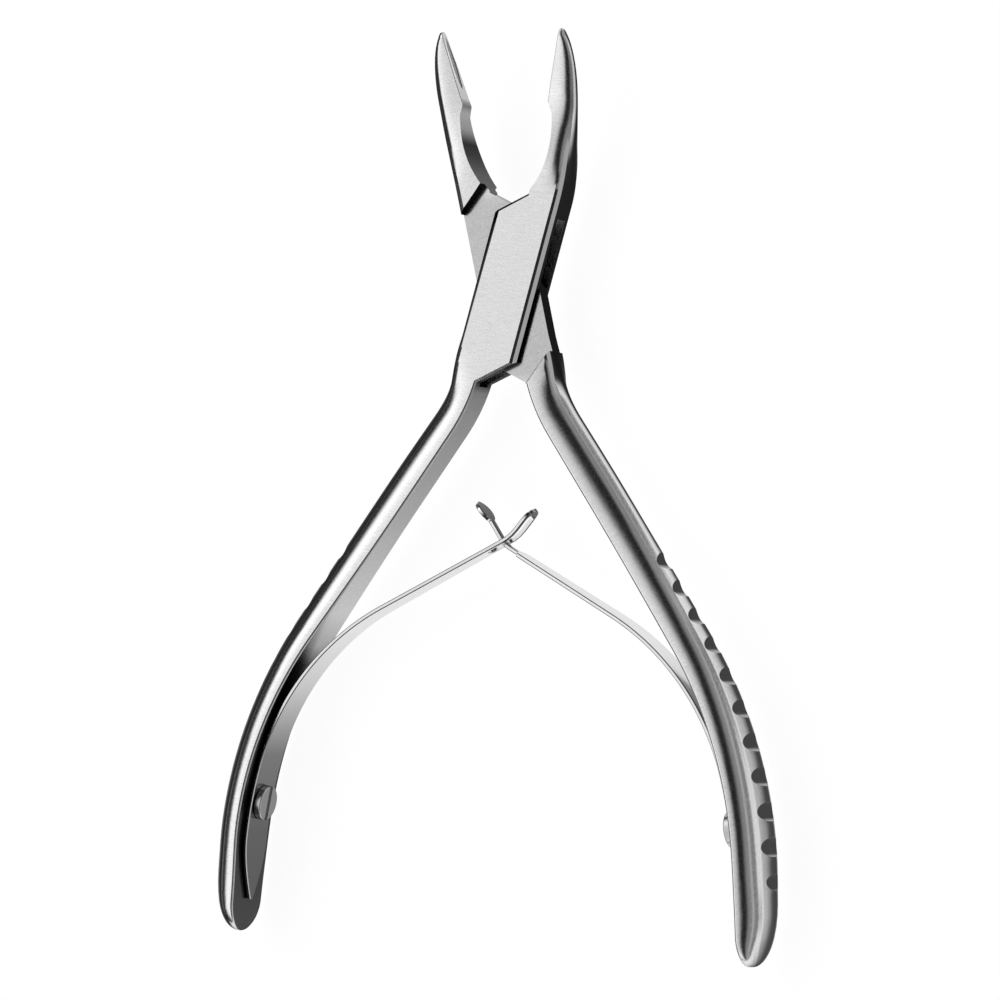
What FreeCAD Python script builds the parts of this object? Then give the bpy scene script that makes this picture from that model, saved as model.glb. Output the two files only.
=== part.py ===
"""Bone rongeur with a box lock and two crossed leaf springs.

Two forged arms cross in a box lock. The box arm carries the right jaw and the left handle,
and its slot holds the tongue of the other arm, which carries the left jaw and the right handle.
A riveted pin joins them. Each handle carries a leaf spring held by one slotted screw. The left
leaf ends in a long loop, and the right leaf passes through it with a narrow neck and a paddle.

Each arm is drawn as it stands with the jaws shut, and is then turned to its open rest position.
+X is to the right, +Y towards the jaw tips, +Z up through the lock, millimetres and degrees.
The origin lies on the pivot axis, on the back flat of the box lock.
"""

import FreeCAD, Part
import math
import os

from FreeCAD import Vector

# Lock: the flat box with its slot, and the tongue that turns in it
box_thickness = 6.0
box_half_width = 4.95
slot_height = 2.9
tongue_side_clearance = 0.05
lock_slope = 40.0
cheek_reach = 11.2
tongue_reach = 11.4
slot_end_clearance = 0.85
jaw_shoulder_reach = 12.9
root_overlap = 0.8
handle_shoulder_reach = 11.8
lock_bevel = 0.64
root_crown = 0.06
pin_radius = 2.25
pin_running_clearance = 0.03

# Jaws: the outline in plan, the upward bend and the scooped bite
jaw_start = 15.0
jaw_length = 24.4
jaw_root_width = 5.0
jaw_plan_power = 2.9
jaw_plan_root = 1.35
jaw_plan_lead = 2.0
jaw_bend_start = 14.0
jaw_bend_radius = 25.0
jaw_bend_angle = 18.5
jaw_taper_start = 19.5
jaw_taper_end = 30.0
bite_half_width = 1.4
nose_half_width = 0.85
jaw_edge_round = 0.5
jaw_crown = 0.2
jaw_front_drop = 0.12
bite_gap = 0.05
bite_length = 10.9
relief_start = 15.2
relief_depth = 1.7
relief_end_depth = 1.0
relief_step = 1.5
cup_length = 8.2
cup_half_width = 1.05
cup_floor_half_width = 0.5
cup_depth = 0.8
cup_margin = 1.0

# Handles: the run of the flat inner face, and the half round section on it
handle_start_x = 0.12
handle_start_y = -9.0
handle_start_angle = 3.1
handle_root_straight = 6.0
handle_root_run = 8.8
handle_root_turn = 17.5
handle_straight = 38.1
handle_bend_radius = 63.3
handle_bend_angle = 31.5
handle_end_run = 9.2
handle_root_depth = 4.83
handle_depth = 5.2
grip_depth = 4.8
grip_half_width = 5.5
grip_start = 28.0
grip_full = 84.0
grip_end_narrowing = 1.2
grip_end_thinning = 1.0
round_start = 6.0
round_full = 28.0
section_drop_share = 0.24
section_crown_share = 0.16
section_corner_share = 0.15

# Finger grooves across the outer side of each handle
groove_count = 11
groove_first = 40.5
groove_pitch = 4.83
groove_radius = 1.7
groove_depth = 0.85
last_groove_depth = 0.55

# Leaf springs and their screws
leaf_thickness = 0.6
leaf_seat_gap = 0.15
leaf_root_half_width = 3.3
leaf_tip_half_width = 2.0
leaf_tail_at = 96.2
leaf_tail_length = 9.5
leaf_tail_tip_half_width = 0.35
leaf_lift_at = 74.3
leaf_bend_radius = 39.2
leaf_bend_angle = 46.1
leaf_straight = 21.3
loop_lead = 1.2
loop_turn_radius = 7.0
loop_turn = 23.5
loop_straight = 3.6
loop_end_turn_radius = 8.0
loop_end_turn = 14.0
loop_slot_half_width = 1.15
loop_slot_start = 2.2
loop_rail = 0.85
neck_half_width = 0.6
neck_start = 2.6
neck_turn_lead = 0.9
neck_turn_radius = 4.0
neck_turn = 27.0
neck_straight = 3.2
paddle_length = 3.8
paddle_half_width = 1.8
paddle_turn = 15.0
screw_at = 81.0
screw_head_radius = 2.7
screw_head_height = 1.0
screw_head_chamfer = 0.15
screw_slot_width = 0.9
screw_slot_depth = 0.5
screw_shank_radius = 1.3
screw_shank_length = 2.8
screw_thread_clearance = 0.03
screw_end_clearance = 0.1
screw_hole_clearance = 0.12
tail_pit_radius = 0.65
tail_pit_depth = 0.9
tail_nib_clearance = 0.15

# Rest position: each arm is turned open by this much from the shut jaws
rest_half_angle = 14.2

# Drawing values: how finely curves are built up, and how near counts as the same place
jaw_section_count = 8
handle_root_section_count = 5
handle_section_count = 10
arch_step_count = 5
neck_section_count = 5
leaf_section_count = 20
least_drop = 0.02
least_tip = 0.1
near = 0.01
cutter_lead = 1.0

UP = Vector(0, 0, 1)
PIVOT = Vector(0, 0, 0)
REACH = 60.0


def smooth_step(value, start, end):
    """0 before start, 1 after end, and an even S-shaped rise between them."""
    share = min(max((value - start) / (end - start), 0.0), 1.0)
    return share * share * (3 - 2 * share)


def round_off(value, start, end):
    """1 before start, falling to 0 at end along a quarter of an ellipse."""
    share = min(max((value - start) / (end - start), 0.0), 1.0)
    return math.sqrt(max(1 - share * share, 0.0))


class Route:
    """A line in plan made of straight runs and tangent arcs, followed by its length."""

    def __init__(self, x, y, heading, runs):
        self.pieces = []
        travelled = 0.0
        for length, turn in runs:
            self.pieces.append((travelled, x, y, heading, length, turn))
            x, y, heading = self.step(x, y, heading, length, turn, length)
            travelled += length
        self.length = travelled

    @staticmethod
    def step(x, y, heading, length, turn, distance):
        if abs(turn) < 1e-9:
            angle = math.radians(heading)
            return x + distance * math.cos(angle), y + distance * math.sin(angle), heading
        radius = length / math.radians(turn)
        start = math.radians(heading)
        end = start + distance / radius
        new_x = x + radius * (math.sin(end) - math.sin(start))
        new_y = y - radius * (math.cos(end) - math.cos(start))
        return new_x, new_y, math.degrees(end)

    def at(self, distance):
        """Point and heading at a length along the route."""
        piece = self.pieces[0]
        for candidate in self.pieces:
            if candidate[0] <= distance:
                piece = candidate
        start, x, y, heading, length, turn = piece
        x, y, heading = self.step(x, y, heading, length, turn, distance - start)
        return Vector(x, y, 0), heading


def direction(heading):
    """Unit vector in plan for a heading counted from +X."""
    return Vector(math.cos(math.radians(heading)), math.sin(math.radians(heading)), 0)


def prism(corners, low, high):
    """Solid of a plan outline between two heights."""
    points = [Vector(x, y, low) for x, y in corners]
    face = Part.Face(Part.makePolygon(points + points[:1]))
    return face.extrude(Vector(0, 0, high - low))


def mirrored(shape):
    """The same form on the other side of the middle plane."""
    return shape.mirror(PIVOT, Vector(1, 0, 0))


def bar_outline(depth, half, drop, corner, crown):
    """Corner places of a bar section as (depth, height) pairs, from the inner face outwards."""
    front = half - drop
    side = depth - crown
    return (0, half), (side - corner, front), (side, front - corner)


def bar_section(origin, outward, across, sizes):
    """Closed outline of a bar: flat inner face, sloping front, bevelled corner, crowned outer side."""
    upper = bar_outline(*sizes)
    lower = [(a, -w) for a, w in upper]

    def place(pair):
        return origin + outward * pair[0] + across * pair[1]

    crown_arc = Part.Arc(place(upper[2]), place((sizes[0], 0)), place(lower[2])).toShape()
    edges = [
        Part.makeLine(place(lower[0]), place(upper[0])),
        Part.makeLine(place(upper[0]), place(upper[1])),
        Part.makeLine(place(upper[1]), place(upper[2])),
        crown_arc,
        Part.makeLine(place(lower[2]), place(lower[1])),
        Part.makeLine(place(lower[1]), place(lower[0])),
    ]
    return Part.Wire(edges)


def bar_end(origin, outward, across, sizes, turn):
    """Rounded end of a bar: half its last section turned about the section's own middle."""
    depth, crown = sizes[0], sizes[4]
    inner_edge, front_edge, side_edge = bar_outline(*sizes)
    crown_radius = (side_edge[1] ** 2 + crown ** 2) / (2 * crown)
    half_way = math.asin(side_edge[1] / crown_radius) / 2
    on_crown = (depth - crown_radius * (1 - math.cos(half_way)), crown_radius * math.sin(half_way))

    def place(pair):
        return origin + outward * pair[0] + across * pair[1]

    edges = [
        Part.makeLine(place((0, 0)), place(inner_edge)),
        Part.makeLine(place(inner_edge), place(front_edge)),
        Part.makeLine(place(front_edge), place(side_edge)),
        Part.Arc(place(side_edge), place(on_crown), place((depth, 0))).toShape(),
        Part.makeLine(place((depth, 0)), place((0, 0))),
    ]
    return Part.Face(Part.Wire(edges)).revolve(origin, outward, turn)


def jaw_route():
    """Middle line of a jaw seen from the side: along y, and z rising."""
    arc_length = jaw_bend_radius * math.radians(jaw_bend_angle)
    level = jaw_start - jaw_bend_start
    rest = jaw_length + level - jaw_bend_radius * math.sin(math.radians(jaw_bend_angle))
    slant = rest / math.cos(math.radians(jaw_bend_angle))
    return Route(jaw_bend_start, 0, 0, [(arc_length, jaw_bend_angle), (slant, 0)])


def jaw_outer(y):
    """Half width of a shut jaw in plan at a place along the instrument."""
    tip = jaw_start + jaw_length
    share = (y - jaw_start + jaw_plan_lead) / (tip - jaw_start + jaw_plan_lead)
    share = min(max(share, 0.0), 1.0)
    return jaw_root_width * (1 - share ** jaw_plan_power) ** (1 / jaw_plan_root)


def jaw_half(y):
    """Half thickness of a jaw at a place along the instrument."""
    tip = jaw_start + jaw_length
    narrow = smooth_step(y, jaw_taper_start, jaw_taper_end)
    bite = bite_half_width + (nose_half_width - bite_half_width) * smooth_step(y, jaw_taper_end, tip)
    return box_thickness / 2 + (bite - box_thickness / 2) * narrow


def jaw_section_sizes(y):
    """Depth, half width, front drop, corner and crown of the jaw section at a place."""
    outer = jaw_outer(y)
    half = jaw_half(y)
    forming = smooth_step(y, jaw_start, jaw_taper_end)
    corner = lock_bevel + (jaw_edge_round - lock_bevel) * forming
    corner = min(corner, half / 2, outer / 3)
    crown = min(root_crown + (jaw_crown - root_crown) * forming, outer / 5)
    drop = least_drop + jaw_front_drop * forming
    return outer, half, drop, corner, crown


def jaw_form():
    """Right jaw with the jaws shut: bent, tapered, with its flat bite face, relief and cup."""
    route = jaw_route()
    tip = jaw_start + jaw_length
    outward = Vector(1, 0, 0)
    sections = []
    for place in spaced(0, route.length - nose_half_width, jaw_section_count):
        middle, slope = route.at(place)
        origin = Vector(0, middle.x, middle.y)
        across = Vector(0, -math.sin(math.radians(slope)), math.cos(math.radians(slope)))
        sizes = jaw_section_sizes(middle.x)
        sections.append(bar_section(origin, outward, across, sizes))
    nose = bar_end(origin, outward, across, sizes, -180)
    jaw = Part.makeLoft(sections, True, False).fuse(nose)
    return jaw.cut(relief_cutter(tip)).cut(cup_cutter(route))


def relief_cutter(tip):
    """Hollow between the shut jaws, from their roots to the step below the bite."""
    step_y = tip - bite_length
    low = step_y - relief_step
    middle = (relief_start + low) / 2
    start = Vector(0, relief_start, 0)
    arc = Part.Arc(start, Vector(relief_depth, middle, 0), Vector(relief_end_depth, low, 0))
    step = Part.makeLine(Vector(relief_end_depth, low, 0), Vector(bite_gap / 2, step_y, 0))
    above = Part.makeLine(Vector(bite_gap / 2, step_y, 0), Vector(-REACH, step_y, 0))
    back = Part.makeLine(Vector(-REACH, step_y, 0), Vector(-REACH, relief_start, 0))
    below = Part.makeLine(Vector(-REACH, relief_start, 0), start)
    face = Part.Face(Part.Wire([arc.toShape(), step, above, back, below]))
    cutter = face.extrude(Vector(0, 0, 2 * REACH))
    cutter.translate(Vector(0, 0, -REACH))
    return cutter


def cup_cutter(route):
    """Wheel with a bevelled rim that scoops the cup out of the bite face and leaves a sharp edge."""
    wheel = ((cup_length / 2) ** 2 + cup_depth ** 2) / (2 * cup_depth)
    spread = cup_half_width - cup_floor_half_width
    profile = [
        Vector(wheel, 0, -cup_floor_half_width),
        Vector(wheel, 0, cup_floor_half_width),
        Vector(wheel - 2 * cup_depth, 0, cup_floor_half_width + 2 * spread),
        Vector(wheel - 2 * cup_depth, 0, -cup_floor_half_width - 2 * spread),
    ]
    cutter = Part.Face(Part.makePolygon(profile + profile[:1])).revolve(PIVOT, UP, 360)
    centre, slope = route.at(route.length - cup_margin - cup_length / 2)
    cutter.rotate(PIVOT, Vector(1, 0, 0), slope)
    cutter.translate(Vector(bite_gap / 2 + cup_depth - wheel, centre.x, centre.y))
    return cutter


def handle_route():
    """The flat inner face of the right handle in plan, with the jaws shut."""
    bend = handle_bend_radius * math.radians(handle_bend_angle)
    runs = [
        (handle_root_straight, 0),
        (handle_root_run, handle_root_turn),
        (handle_straight, 0),
        (bend, -handle_bend_angle),
        (handle_end_run, 0),
    ]
    return Route(handle_start_x, handle_start_y, handle_start_angle - 90, runs)


def handle_depth_at(route, place):
    """Depth of the handle, from its inner face to its outer side, at a length along it."""
    swell = smooth_step(place, 0, grip_start)
    settle = smooth_step(place, grip_start, grip_full)
    thinning = grip_end_thinning * smooth_step(place, grip_full, route.length)
    body = handle_root_depth + (handle_depth - handle_root_depth) * swell
    return body + (grip_depth - handle_depth) * settle - thinning


def handle_half_at(route, place):
    """Half width of the handle at a length along it."""
    settle = smooth_step(place, grip_start, grip_full)
    narrowing = grip_end_narrowing * smooth_step(place, grip_full, route.length)
    return box_thickness / 2 + (grip_half_width - box_thickness / 2) * settle - narrowing


def handle_section_sizes(route, place):
    """Depth, half width, front drop, corner and crown of the handle section at a place."""
    depth = handle_depth_at(route, place)
    half = handle_half_at(route, place)
    rounding = smooth_step(place, round_start, round_full)
    drop = least_drop + section_drop_share * half * rounding
    crown = root_crown + (section_crown_share * depth - root_crown) * rounding
    corner = lock_bevel + (section_corner_share * (half + depth) / 2 - lock_bevel) * rounding
    return depth, half, drop, corner, crown


def handle_section(route, place):
    """Section of the right handle square to its inner face, with its frame and its sizes."""
    point, heading = route.at(place)
    outward = direction(heading + 90)
    sizes = handle_section_sizes(route, place)
    return bar_section(point, outward, UP, sizes), point, outward, sizes


def handle_form(route):
    """Right handle: half round bar on its flat inner face, widening to the grip, round ended."""
    bend_end = handle_root_straight + handle_root_run
    root_places = spaced(0, bend_end, handle_root_section_count)
    bar_places = spaced(bend_end, route.length, handle_section_count)
    root = Part.makeLoft([handle_section(route, place)[0] for place in root_places], True, False)
    bar = Part.makeLoft([handle_section(route, place)[0] for place in bar_places], True, False)
    section, point, outward, sizes = handle_section(route, route.length)
    handle = root.fuse([bar, bar_end(point, outward, UP, sizes, 180)])
    for n in range(groove_count):
        handle = handle.cut(groove_cutter(route, n))
    screw_hole = radial_cylinder(route, screw_at, screw_shank_radius, -cutter_lead, screw_shank_length)
    tail_pit = radial_cylinder(route, leaf_tail_at, tail_pit_radius, -cutter_lead, tail_pit_depth)
    return handle.cut([screw_hole, tail_pit])


def groove_cutter(route, number):
    """Round cutter lying across the outer side of the handle for one finger groove."""
    place = groove_first + groove_pitch * number
    point, heading = route.at(place)
    depth = handle_depth_at(route, place)
    cut = last_groove_depth if number == groove_count - 1 else groove_depth
    centre = point + direction(heading + 90) * (depth - cut + groove_radius)
    height = 4 * grip_half_width
    return Part.makeCylinder(groove_radius, height, centre - UP * (height / 2), UP)


def radial_cylinder(route, place, radius, low, high):
    """Cylinder square to the inner face between two depths, which are negative outside the handle."""
    point, heading = route.at(place)
    outward = direction(heading + 90)
    return Part.makeCylinder(radius, high - low, point + outward * low, outward)


def slanted_y(x, reach, rise):
    """Height in plan of a slanted edge of the lock at a place across it."""
    slope = math.radians(lock_slope)
    return (reach + rise * x * math.sin(slope)) / math.cos(slope)


def bevelled(shape, sign):
    """Bevel the long outer edges of the lock on the side given by sign."""
    chosen = []
    for edge in shape.Edges:
        box = edge.BoundBox
        upright = box.ZLength > near
        on_side = abs(edge.CenterOfMass.x - sign * box_half_width) < near
        if on_side and not upright and box.YLength > box_half_width:
            chosen.append(edge)
    return shape.makeChamfer(lock_bevel, chosen)


def box_arm():
    """Right jaw, box and left handle in one forging, drawn with the jaws shut."""
    low = -box_thickness / 2
    high = box_thickness / 2
    route = handle_route()
    inner = bite_gap / 2
    inside = -handle_start_x - root_overlap
    plate_corners = [
        (-box_half_width, slanted_y(-box_half_width, cheek_reach, 1)),
        (inner, slanted_y(inner, cheek_reach, 1)),
        (inner, jaw_start),
        (box_half_width, jaw_start),
        (box_half_width, -slanted_y(-box_half_width, cheek_reach, 1)),
        (inside, -slanted_y(-inside, cheek_reach, 1)),
        (inside, handle_start_y),
        (-box_half_width, handle_start_y),
    ]
    plate = prism(plate_corners, low, high)
    plate = bevelled(bevelled(plate, 1), -1)
    arm = plate.fuse([jaw_form(), mirrored(handle_form(route))])
    arm = arm.cut(slot_cutter())
    bore = Part.makeCylinder(pin_radius, box_thickness, Vector(0, 0, low), UP)
    return arm.cut(bore).removeSplitter()


def slot_cutter():
    """The slot through the box, open at both sides and through the slanted edges."""
    reach = tongue_reach + slot_end_clearance
    far = 3 * box_half_width
    corners = [
        (far, slanted_y(far, reach, -1)),
        (-far, slanted_y(-far, reach, -1)),
        (-far, -slanted_y(far, reach, -1)),
        (far, -slanted_y(-far, reach, -1)),
    ]
    return prism(corners, -slot_height / 2, slot_height / 2)


def tongue_arm():
    """Left jaw, tongue and right handle in one forging, drawn with the jaws shut."""
    low = -box_thickness / 2
    high = box_thickness / 2
    route = handle_route()
    tongue_half = slot_height / 2 - tongue_side_clearance
    width = box_half_width
    inner = -bite_gap / 2
    tongue_corners = [
        (-width, -slanted_y(width, tongue_reach, -1)),
        (-width, jaw_start),
        (inner, jaw_start),
        (inner, slanted_y(inner, tongue_reach, -1)),
        (width, slanted_y(width, tongue_reach, -1)),
        (width, handle_start_y),
        (handle_start_x + root_overlap, handle_start_y),
        (handle_start_x + root_overlap, -slanted_y(-handle_start_x - root_overlap, tongue_reach, -1)),
    ]
    tongue = prism(tongue_corners, -tongue_half, tongue_half)
    shoulder_corners = [
        (-width, slanted_y(-width, jaw_shoulder_reach, 1)),
        (-width, jaw_start),
        (slanted_x(jaw_start, jaw_shoulder_reach), jaw_start),
    ]
    root = prism(shoulder_corners, low, high)
    jaw = mirrored(jaw_form()).cut(shoulder_cutter(jaw_shoulder_reach, 1))
    handle = handle_form(route).cut(shoulder_cutter(handle_shoulder_reach, -1))
    arm = tongue.fuse([root, jaw, handle])
    bore_radius = pin_radius + pin_running_clearance
    bore = Part.makeCylinder(bore_radius, box_thickness, Vector(0, 0, low), UP)
    return arm.cut(bore).removeSplitter()


def slanted_x(y, reach):
    """Place across the lock where a slanted edge reaches a height in plan."""
    slope = math.radians(lock_slope)
    return (y * math.cos(slope) - reach) / math.sin(slope)


def shoulder_cutter(reach, side):
    """What a slanted shoulder takes off a root of the tongue arm, in front of and behind the tongue."""
    tongue_half = slot_height / 2 - tongue_side_clearance
    far = 3 * box_half_width
    corners = [
        (-far, side * slanted_y(-side * far, reach, 1)),
        (far, side * slanted_y(side * far, reach, 1)),
        (far, 0),
        (-far, 0),
    ]
    above = prism(corners, tongue_half, box_thickness)
    below = prism(corners, -box_thickness, -tongue_half)
    return above.fuse(below)


def joint_pin():
    """Riveted pin, ground flush with both cheeks of the box."""
    return Part.makeCylinder(pin_radius, box_thickness, Vector(0, 0, -box_thickness / 2), UP)


def leaf_route(handle, end_runs):
    """Middle line of a leaf on the right handle, from its tail up to its free end."""
    offset = leaf_seat_gap + leaf_thickness / 2
    point, heading = handle.at(leaf_tail_at)
    start = point - direction(heading + 90) * offset
    bend_end = handle.length - handle_end_run
    on_bend = bend_end - leaf_lift_at
    turn = math.degrees(on_bend / handle_bend_radius)
    bend_length = math.radians(turn) * (handle_bend_radius - offset)
    lift_length = math.radians(leaf_bend_angle) * leaf_bend_radius
    runs = [
        (leaf_tail_at - bend_end, 0),
        (bend_length, turn),
        (lift_length, leaf_bend_angle),
    ]
    return Route(start.x, start.y, heading + 180, runs + end_runs)


def strip(route, places, half_width, half_thickness):
    """Bent strip along a route, with its half width given as a function of the length."""
    sections = []
    for place in places:
        point, heading = route.at(place)
        side = direction(heading + 90) * half_thickness
        width = UP * half_width(place)
        corners = [point - side - width, point + side - width, point + side + width, point - side + width]
        sections.append(Part.makePolygon(corners + corners[:1]))
    return Part.makeLoft(sections, True, False)


def spaced(start, end, count):
    """Evenly spaced lengths from start to end."""
    return [start + (end - start) * n / count for n in range(count + 1)]


def leaf_width(place, narrow_start, crossing):
    """Half width of a leaf: pointed arch at the tail, then a slow taper to the crossing."""
    arch = min(place / leaf_tail_length, 1.0)
    taper = min(max((place - narrow_start) / (crossing - narrow_start), 0.0), 1.0)
    full = leaf_root_half_width + (leaf_tip_half_width - leaf_root_half_width) * taper
    return leaf_tail_tip_half_width + (full - leaf_tail_tip_half_width) * math.sin(math.pi / 2 * arch)


def leaf_root(handle, route, end):
    """Clamped root and free blade of a leaf up to a length, with its screw hole and tail nib."""
    lift = leaf_tail_at - leaf_lift_at
    crossing = crossing_length(route)
    blade = strip(route, spaced(0, end, leaf_section_count), lambda p: leaf_width(p, lift, crossing),
                  leaf_thickness / 2)
    hole = screw_shank_radius + screw_hole_clearance
    beyond = leaf_seat_gap + leaf_thickness
    blade = blade.cut(radial_cylinder(handle, screw_at, hole, -2 * beyond, beyond))
    nib_radius = tail_pit_radius - tail_nib_clearance
    nib_end = tail_pit_depth - tail_nib_clearance
    nib = radial_cylinder(handle, leaf_tail_at, nib_radius, -leaf_seat_gap - leaf_thickness / 2, nib_end)
    return blade.fuse(nib)


def crossing_length(route):
    """Length along a leaf at which it meets the other leaf."""
    return route.pieces[3][0] + leaf_straight


def rounded_ends(start, end, rounding):
    """Lengths along a strip with round ends: closer together towards both ends."""
    steps = range(arch_step_count + 1)
    rise = [rounding * (1 - math.cos(math.pi / 2 * n / arch_step_count)) for n in steps]
    places = [start + r for r in rise] + spaced(start + rounding, end - rounding, arch_step_count)
    places += [end - r for r in reversed(rise)]
    kept = places[:1]
    for place in places[1:]:
        if place - kept[-1] > near:
            kept.append(place)
    return kept


def oval_width(place, start, end, rounding, half):
    """Half width of a strip with round ends, never less than a small blunt tip."""
    opened = round_off(rounding - (place - start), 0, rounding)
    closed = round_off(rounding - (end - place), 0, rounding)
    return max(half * opened * closed, least_tip)


def slotted_spring(handle):
    """Leaf that ends in a long loop, drawn on the right handle with the jaws shut."""
    loop_bend = math.radians(loop_turn) * loop_turn_radius
    end_bend = math.radians(loop_end_turn) * loop_end_turn_radius
    end_runs = [
        (leaf_straight + loop_lead, 0),
        (loop_bend, -loop_turn),
        (loop_straight, 0),
        (end_bend, loop_end_turn),
    ]
    route = leaf_route(handle, end_runs)
    crossing = crossing_length(route)
    end = route.length
    outer = leaf_tip_half_width
    begin = crossing - loop_slot_start
    finish = end - loop_rail
    blade = leaf_root(handle, route, begin)
    loop_places = [place for place in rounded_ends(begin - outer, end, outer) if place > begin + near]
    loop = strip(route, [begin] + loop_places, lambda p: oval_width(p, begin - outer, end, outer, outer),
                 leaf_thickness / 2)
    slot = strip(route, rounded_ends(begin, finish, loop_slot_half_width),
                 lambda p: oval_width(p, begin, finish, loop_slot_half_width, loop_slot_half_width),
                 leaf_thickness)
    return blade.fuse(loop).cut(slot).removeSplitter()


def paddle_spring(handle):
    """Leaf that narrows to a neck with an oval paddle, drawn on the right handle."""
    neck_bend = math.radians(neck_turn) * neck_turn_radius
    end_runs = [
        (leaf_straight - neck_turn_lead, 0),
        (neck_bend, -neck_turn),
        (neck_straight, 0),
        (paddle_length, paddle_turn),
    ]
    route = leaf_route(handle, end_runs)
    shoulder = crossing_length(route) - neck_start
    end = route.length
    start = end - paddle_length
    reach = paddle_length / 2
    blade = leaf_root(handle, route, shoulder)
    neck = strip(route, spaced(shoulder, start + reach, neck_section_count), lambda p: neck_half_width,
                 leaf_thickness / 2)
    paddle = strip(route, rounded_ends(start, end, reach),
                   lambda p: oval_width(p, start, end, reach, paddle_half_width), leaf_thickness / 2)
    return blade.fuse([neck, paddle]).removeSplitter()


def spring_screw(handle):
    """Slotted cheese head screw that clamps a leaf, its slot along the handle."""
    point, heading = handle.at(screw_at)
    outward = direction(heading + 90)
    under_head = -2 * leaf_seat_gap - leaf_thickness
    top = under_head - screw_head_height
    head = Part.makeCylinder(screw_head_radius, screw_head_height, point + outward * top, outward)
    rim = [edge for edge in head.Edges if edge.CenterOfMass.distanceToPoint(point + outward * top) < near]
    head = head.makeChamfer(screw_head_chamfer, rim)
    shank_end = screw_shank_length - screw_end_clearance
    shank = Part.makeCylinder(screw_shank_radius - screw_thread_clearance, shank_end - under_head,
                              point + outward * under_head, outward)
    slot = Part.makeBox(4 * screw_head_radius, screw_slot_width, 2 * screw_slot_depth)
    slot.translate(Vector(-2 * screw_head_radius, -screw_slot_width / 2, -screw_slot_depth))
    along = direction(heading)
    turn = FreeCAD.Rotation(along, UP, outward, "ZXY")
    slot.Placement = FreeCAD.Placement(point + outward * top, turn).multiply(slot.Placement)
    return head.cut(slot).fuse(shank)


def at_rest(shape, side):
    """Turn a shape drawn with the jaws shut to the open rest position, on the box's back flat."""
    placed = shape.copy()
    placed.rotate(PIVOT, UP, side * rest_half_angle)
    placed.translate(Vector(0, 0, box_thickness / 2))
    return placed


def main():
    os.makedirs("parts", exist_ok=True)
    handle = handle_route()
    box_side = -1
    tongue_side = 1
    parts = {
        "box_arm": at_rest(box_arm(), box_side),
        "tongue_arm": at_rest(tongue_arm(), tongue_side),
        "joint_pin": at_rest(joint_pin(), box_side),
        "slotted_spring": at_rest(mirrored(slotted_spring(handle)), box_side),
        "paddle_spring": at_rest(paddle_spring(handle), tongue_side),
        "left_spring_screw": at_rest(mirrored(spring_screw(handle)), box_side),
        "right_spring_screw": at_rest(spring_screw(handle), tongue_side),
    }
    for name, shape in parts.items():
        shape.exportStep("parts/" + name + ".step")
        box = shape.BoundBox
        print(name, "solids", len(shape.Solids), "valid", shape.isValid(), "volume", round(shape.Volume, 1),
              "box", [round(v, 2) for v in (box.XMin, box.XMax, box.YMin, box.YMax, box.ZMin, box.ZMax)])


main()
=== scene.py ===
# %% [markdown]
# # A bone rongeur in satin steel
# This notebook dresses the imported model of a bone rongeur: two forged arms that cross in a box
# lock, and two leaf springs that push the handles apart. The sizes follow the CAD solids. Each
# piece is modelled once more, with the soft edges and the finish of the real steel.

# %% Load the frame
import math

import bmesh
import bpy
from mathutils import Matrix, Vector


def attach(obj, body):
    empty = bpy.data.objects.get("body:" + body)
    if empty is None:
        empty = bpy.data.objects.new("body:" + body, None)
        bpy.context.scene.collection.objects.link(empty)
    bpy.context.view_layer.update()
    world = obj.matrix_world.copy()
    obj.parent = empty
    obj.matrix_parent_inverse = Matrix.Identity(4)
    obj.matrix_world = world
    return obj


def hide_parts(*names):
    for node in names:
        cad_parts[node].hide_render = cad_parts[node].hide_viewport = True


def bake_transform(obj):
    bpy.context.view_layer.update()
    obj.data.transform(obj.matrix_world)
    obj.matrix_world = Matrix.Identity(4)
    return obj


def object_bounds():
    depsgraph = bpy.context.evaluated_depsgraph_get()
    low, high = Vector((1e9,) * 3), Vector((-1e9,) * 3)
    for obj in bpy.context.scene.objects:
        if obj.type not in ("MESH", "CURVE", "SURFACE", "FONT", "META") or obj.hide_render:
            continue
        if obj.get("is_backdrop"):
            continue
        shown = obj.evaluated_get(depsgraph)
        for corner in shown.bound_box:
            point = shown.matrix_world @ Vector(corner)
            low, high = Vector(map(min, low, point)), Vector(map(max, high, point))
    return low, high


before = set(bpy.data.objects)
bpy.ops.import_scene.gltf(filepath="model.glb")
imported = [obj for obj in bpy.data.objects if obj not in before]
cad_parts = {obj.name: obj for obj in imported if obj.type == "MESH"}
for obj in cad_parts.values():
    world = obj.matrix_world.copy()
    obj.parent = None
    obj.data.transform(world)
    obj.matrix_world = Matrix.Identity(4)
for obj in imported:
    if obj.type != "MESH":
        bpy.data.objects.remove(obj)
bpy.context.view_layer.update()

bpy.ops.object.select_all(action="DESELECT")

# %% [markdown]
# ## One drawing for both arms
# The two arms are near mirror images, so every form is drawn once, as the right-hand one with the
# jaws shut. A placing function mirrors it if needed, turns it open and lifts the back flat of the
# lock to zero height. One unit of the drawing is a millimetre, since booleans go wrong on very
# small meshes. The finished pieces are scaled down to metres near the end.

# %% Placing
METRES = 0.001
REST_TURN = math.radians(14.2)
HALF_LOCK = 3.0


def placer(turn_sign, mirror):
    """A function that takes a point of the drawing to its place at rest."""
    turn = Matrix.Rotation(turn_sign * REST_TURN, 3, "Z")
    flip = -1.0 if mirror else 1.0

    def place(x, y, z):
        return turn @ Vector((flip * x, y, z)) + Vector((0, 0, HALF_LOCK))

    return place


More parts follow.
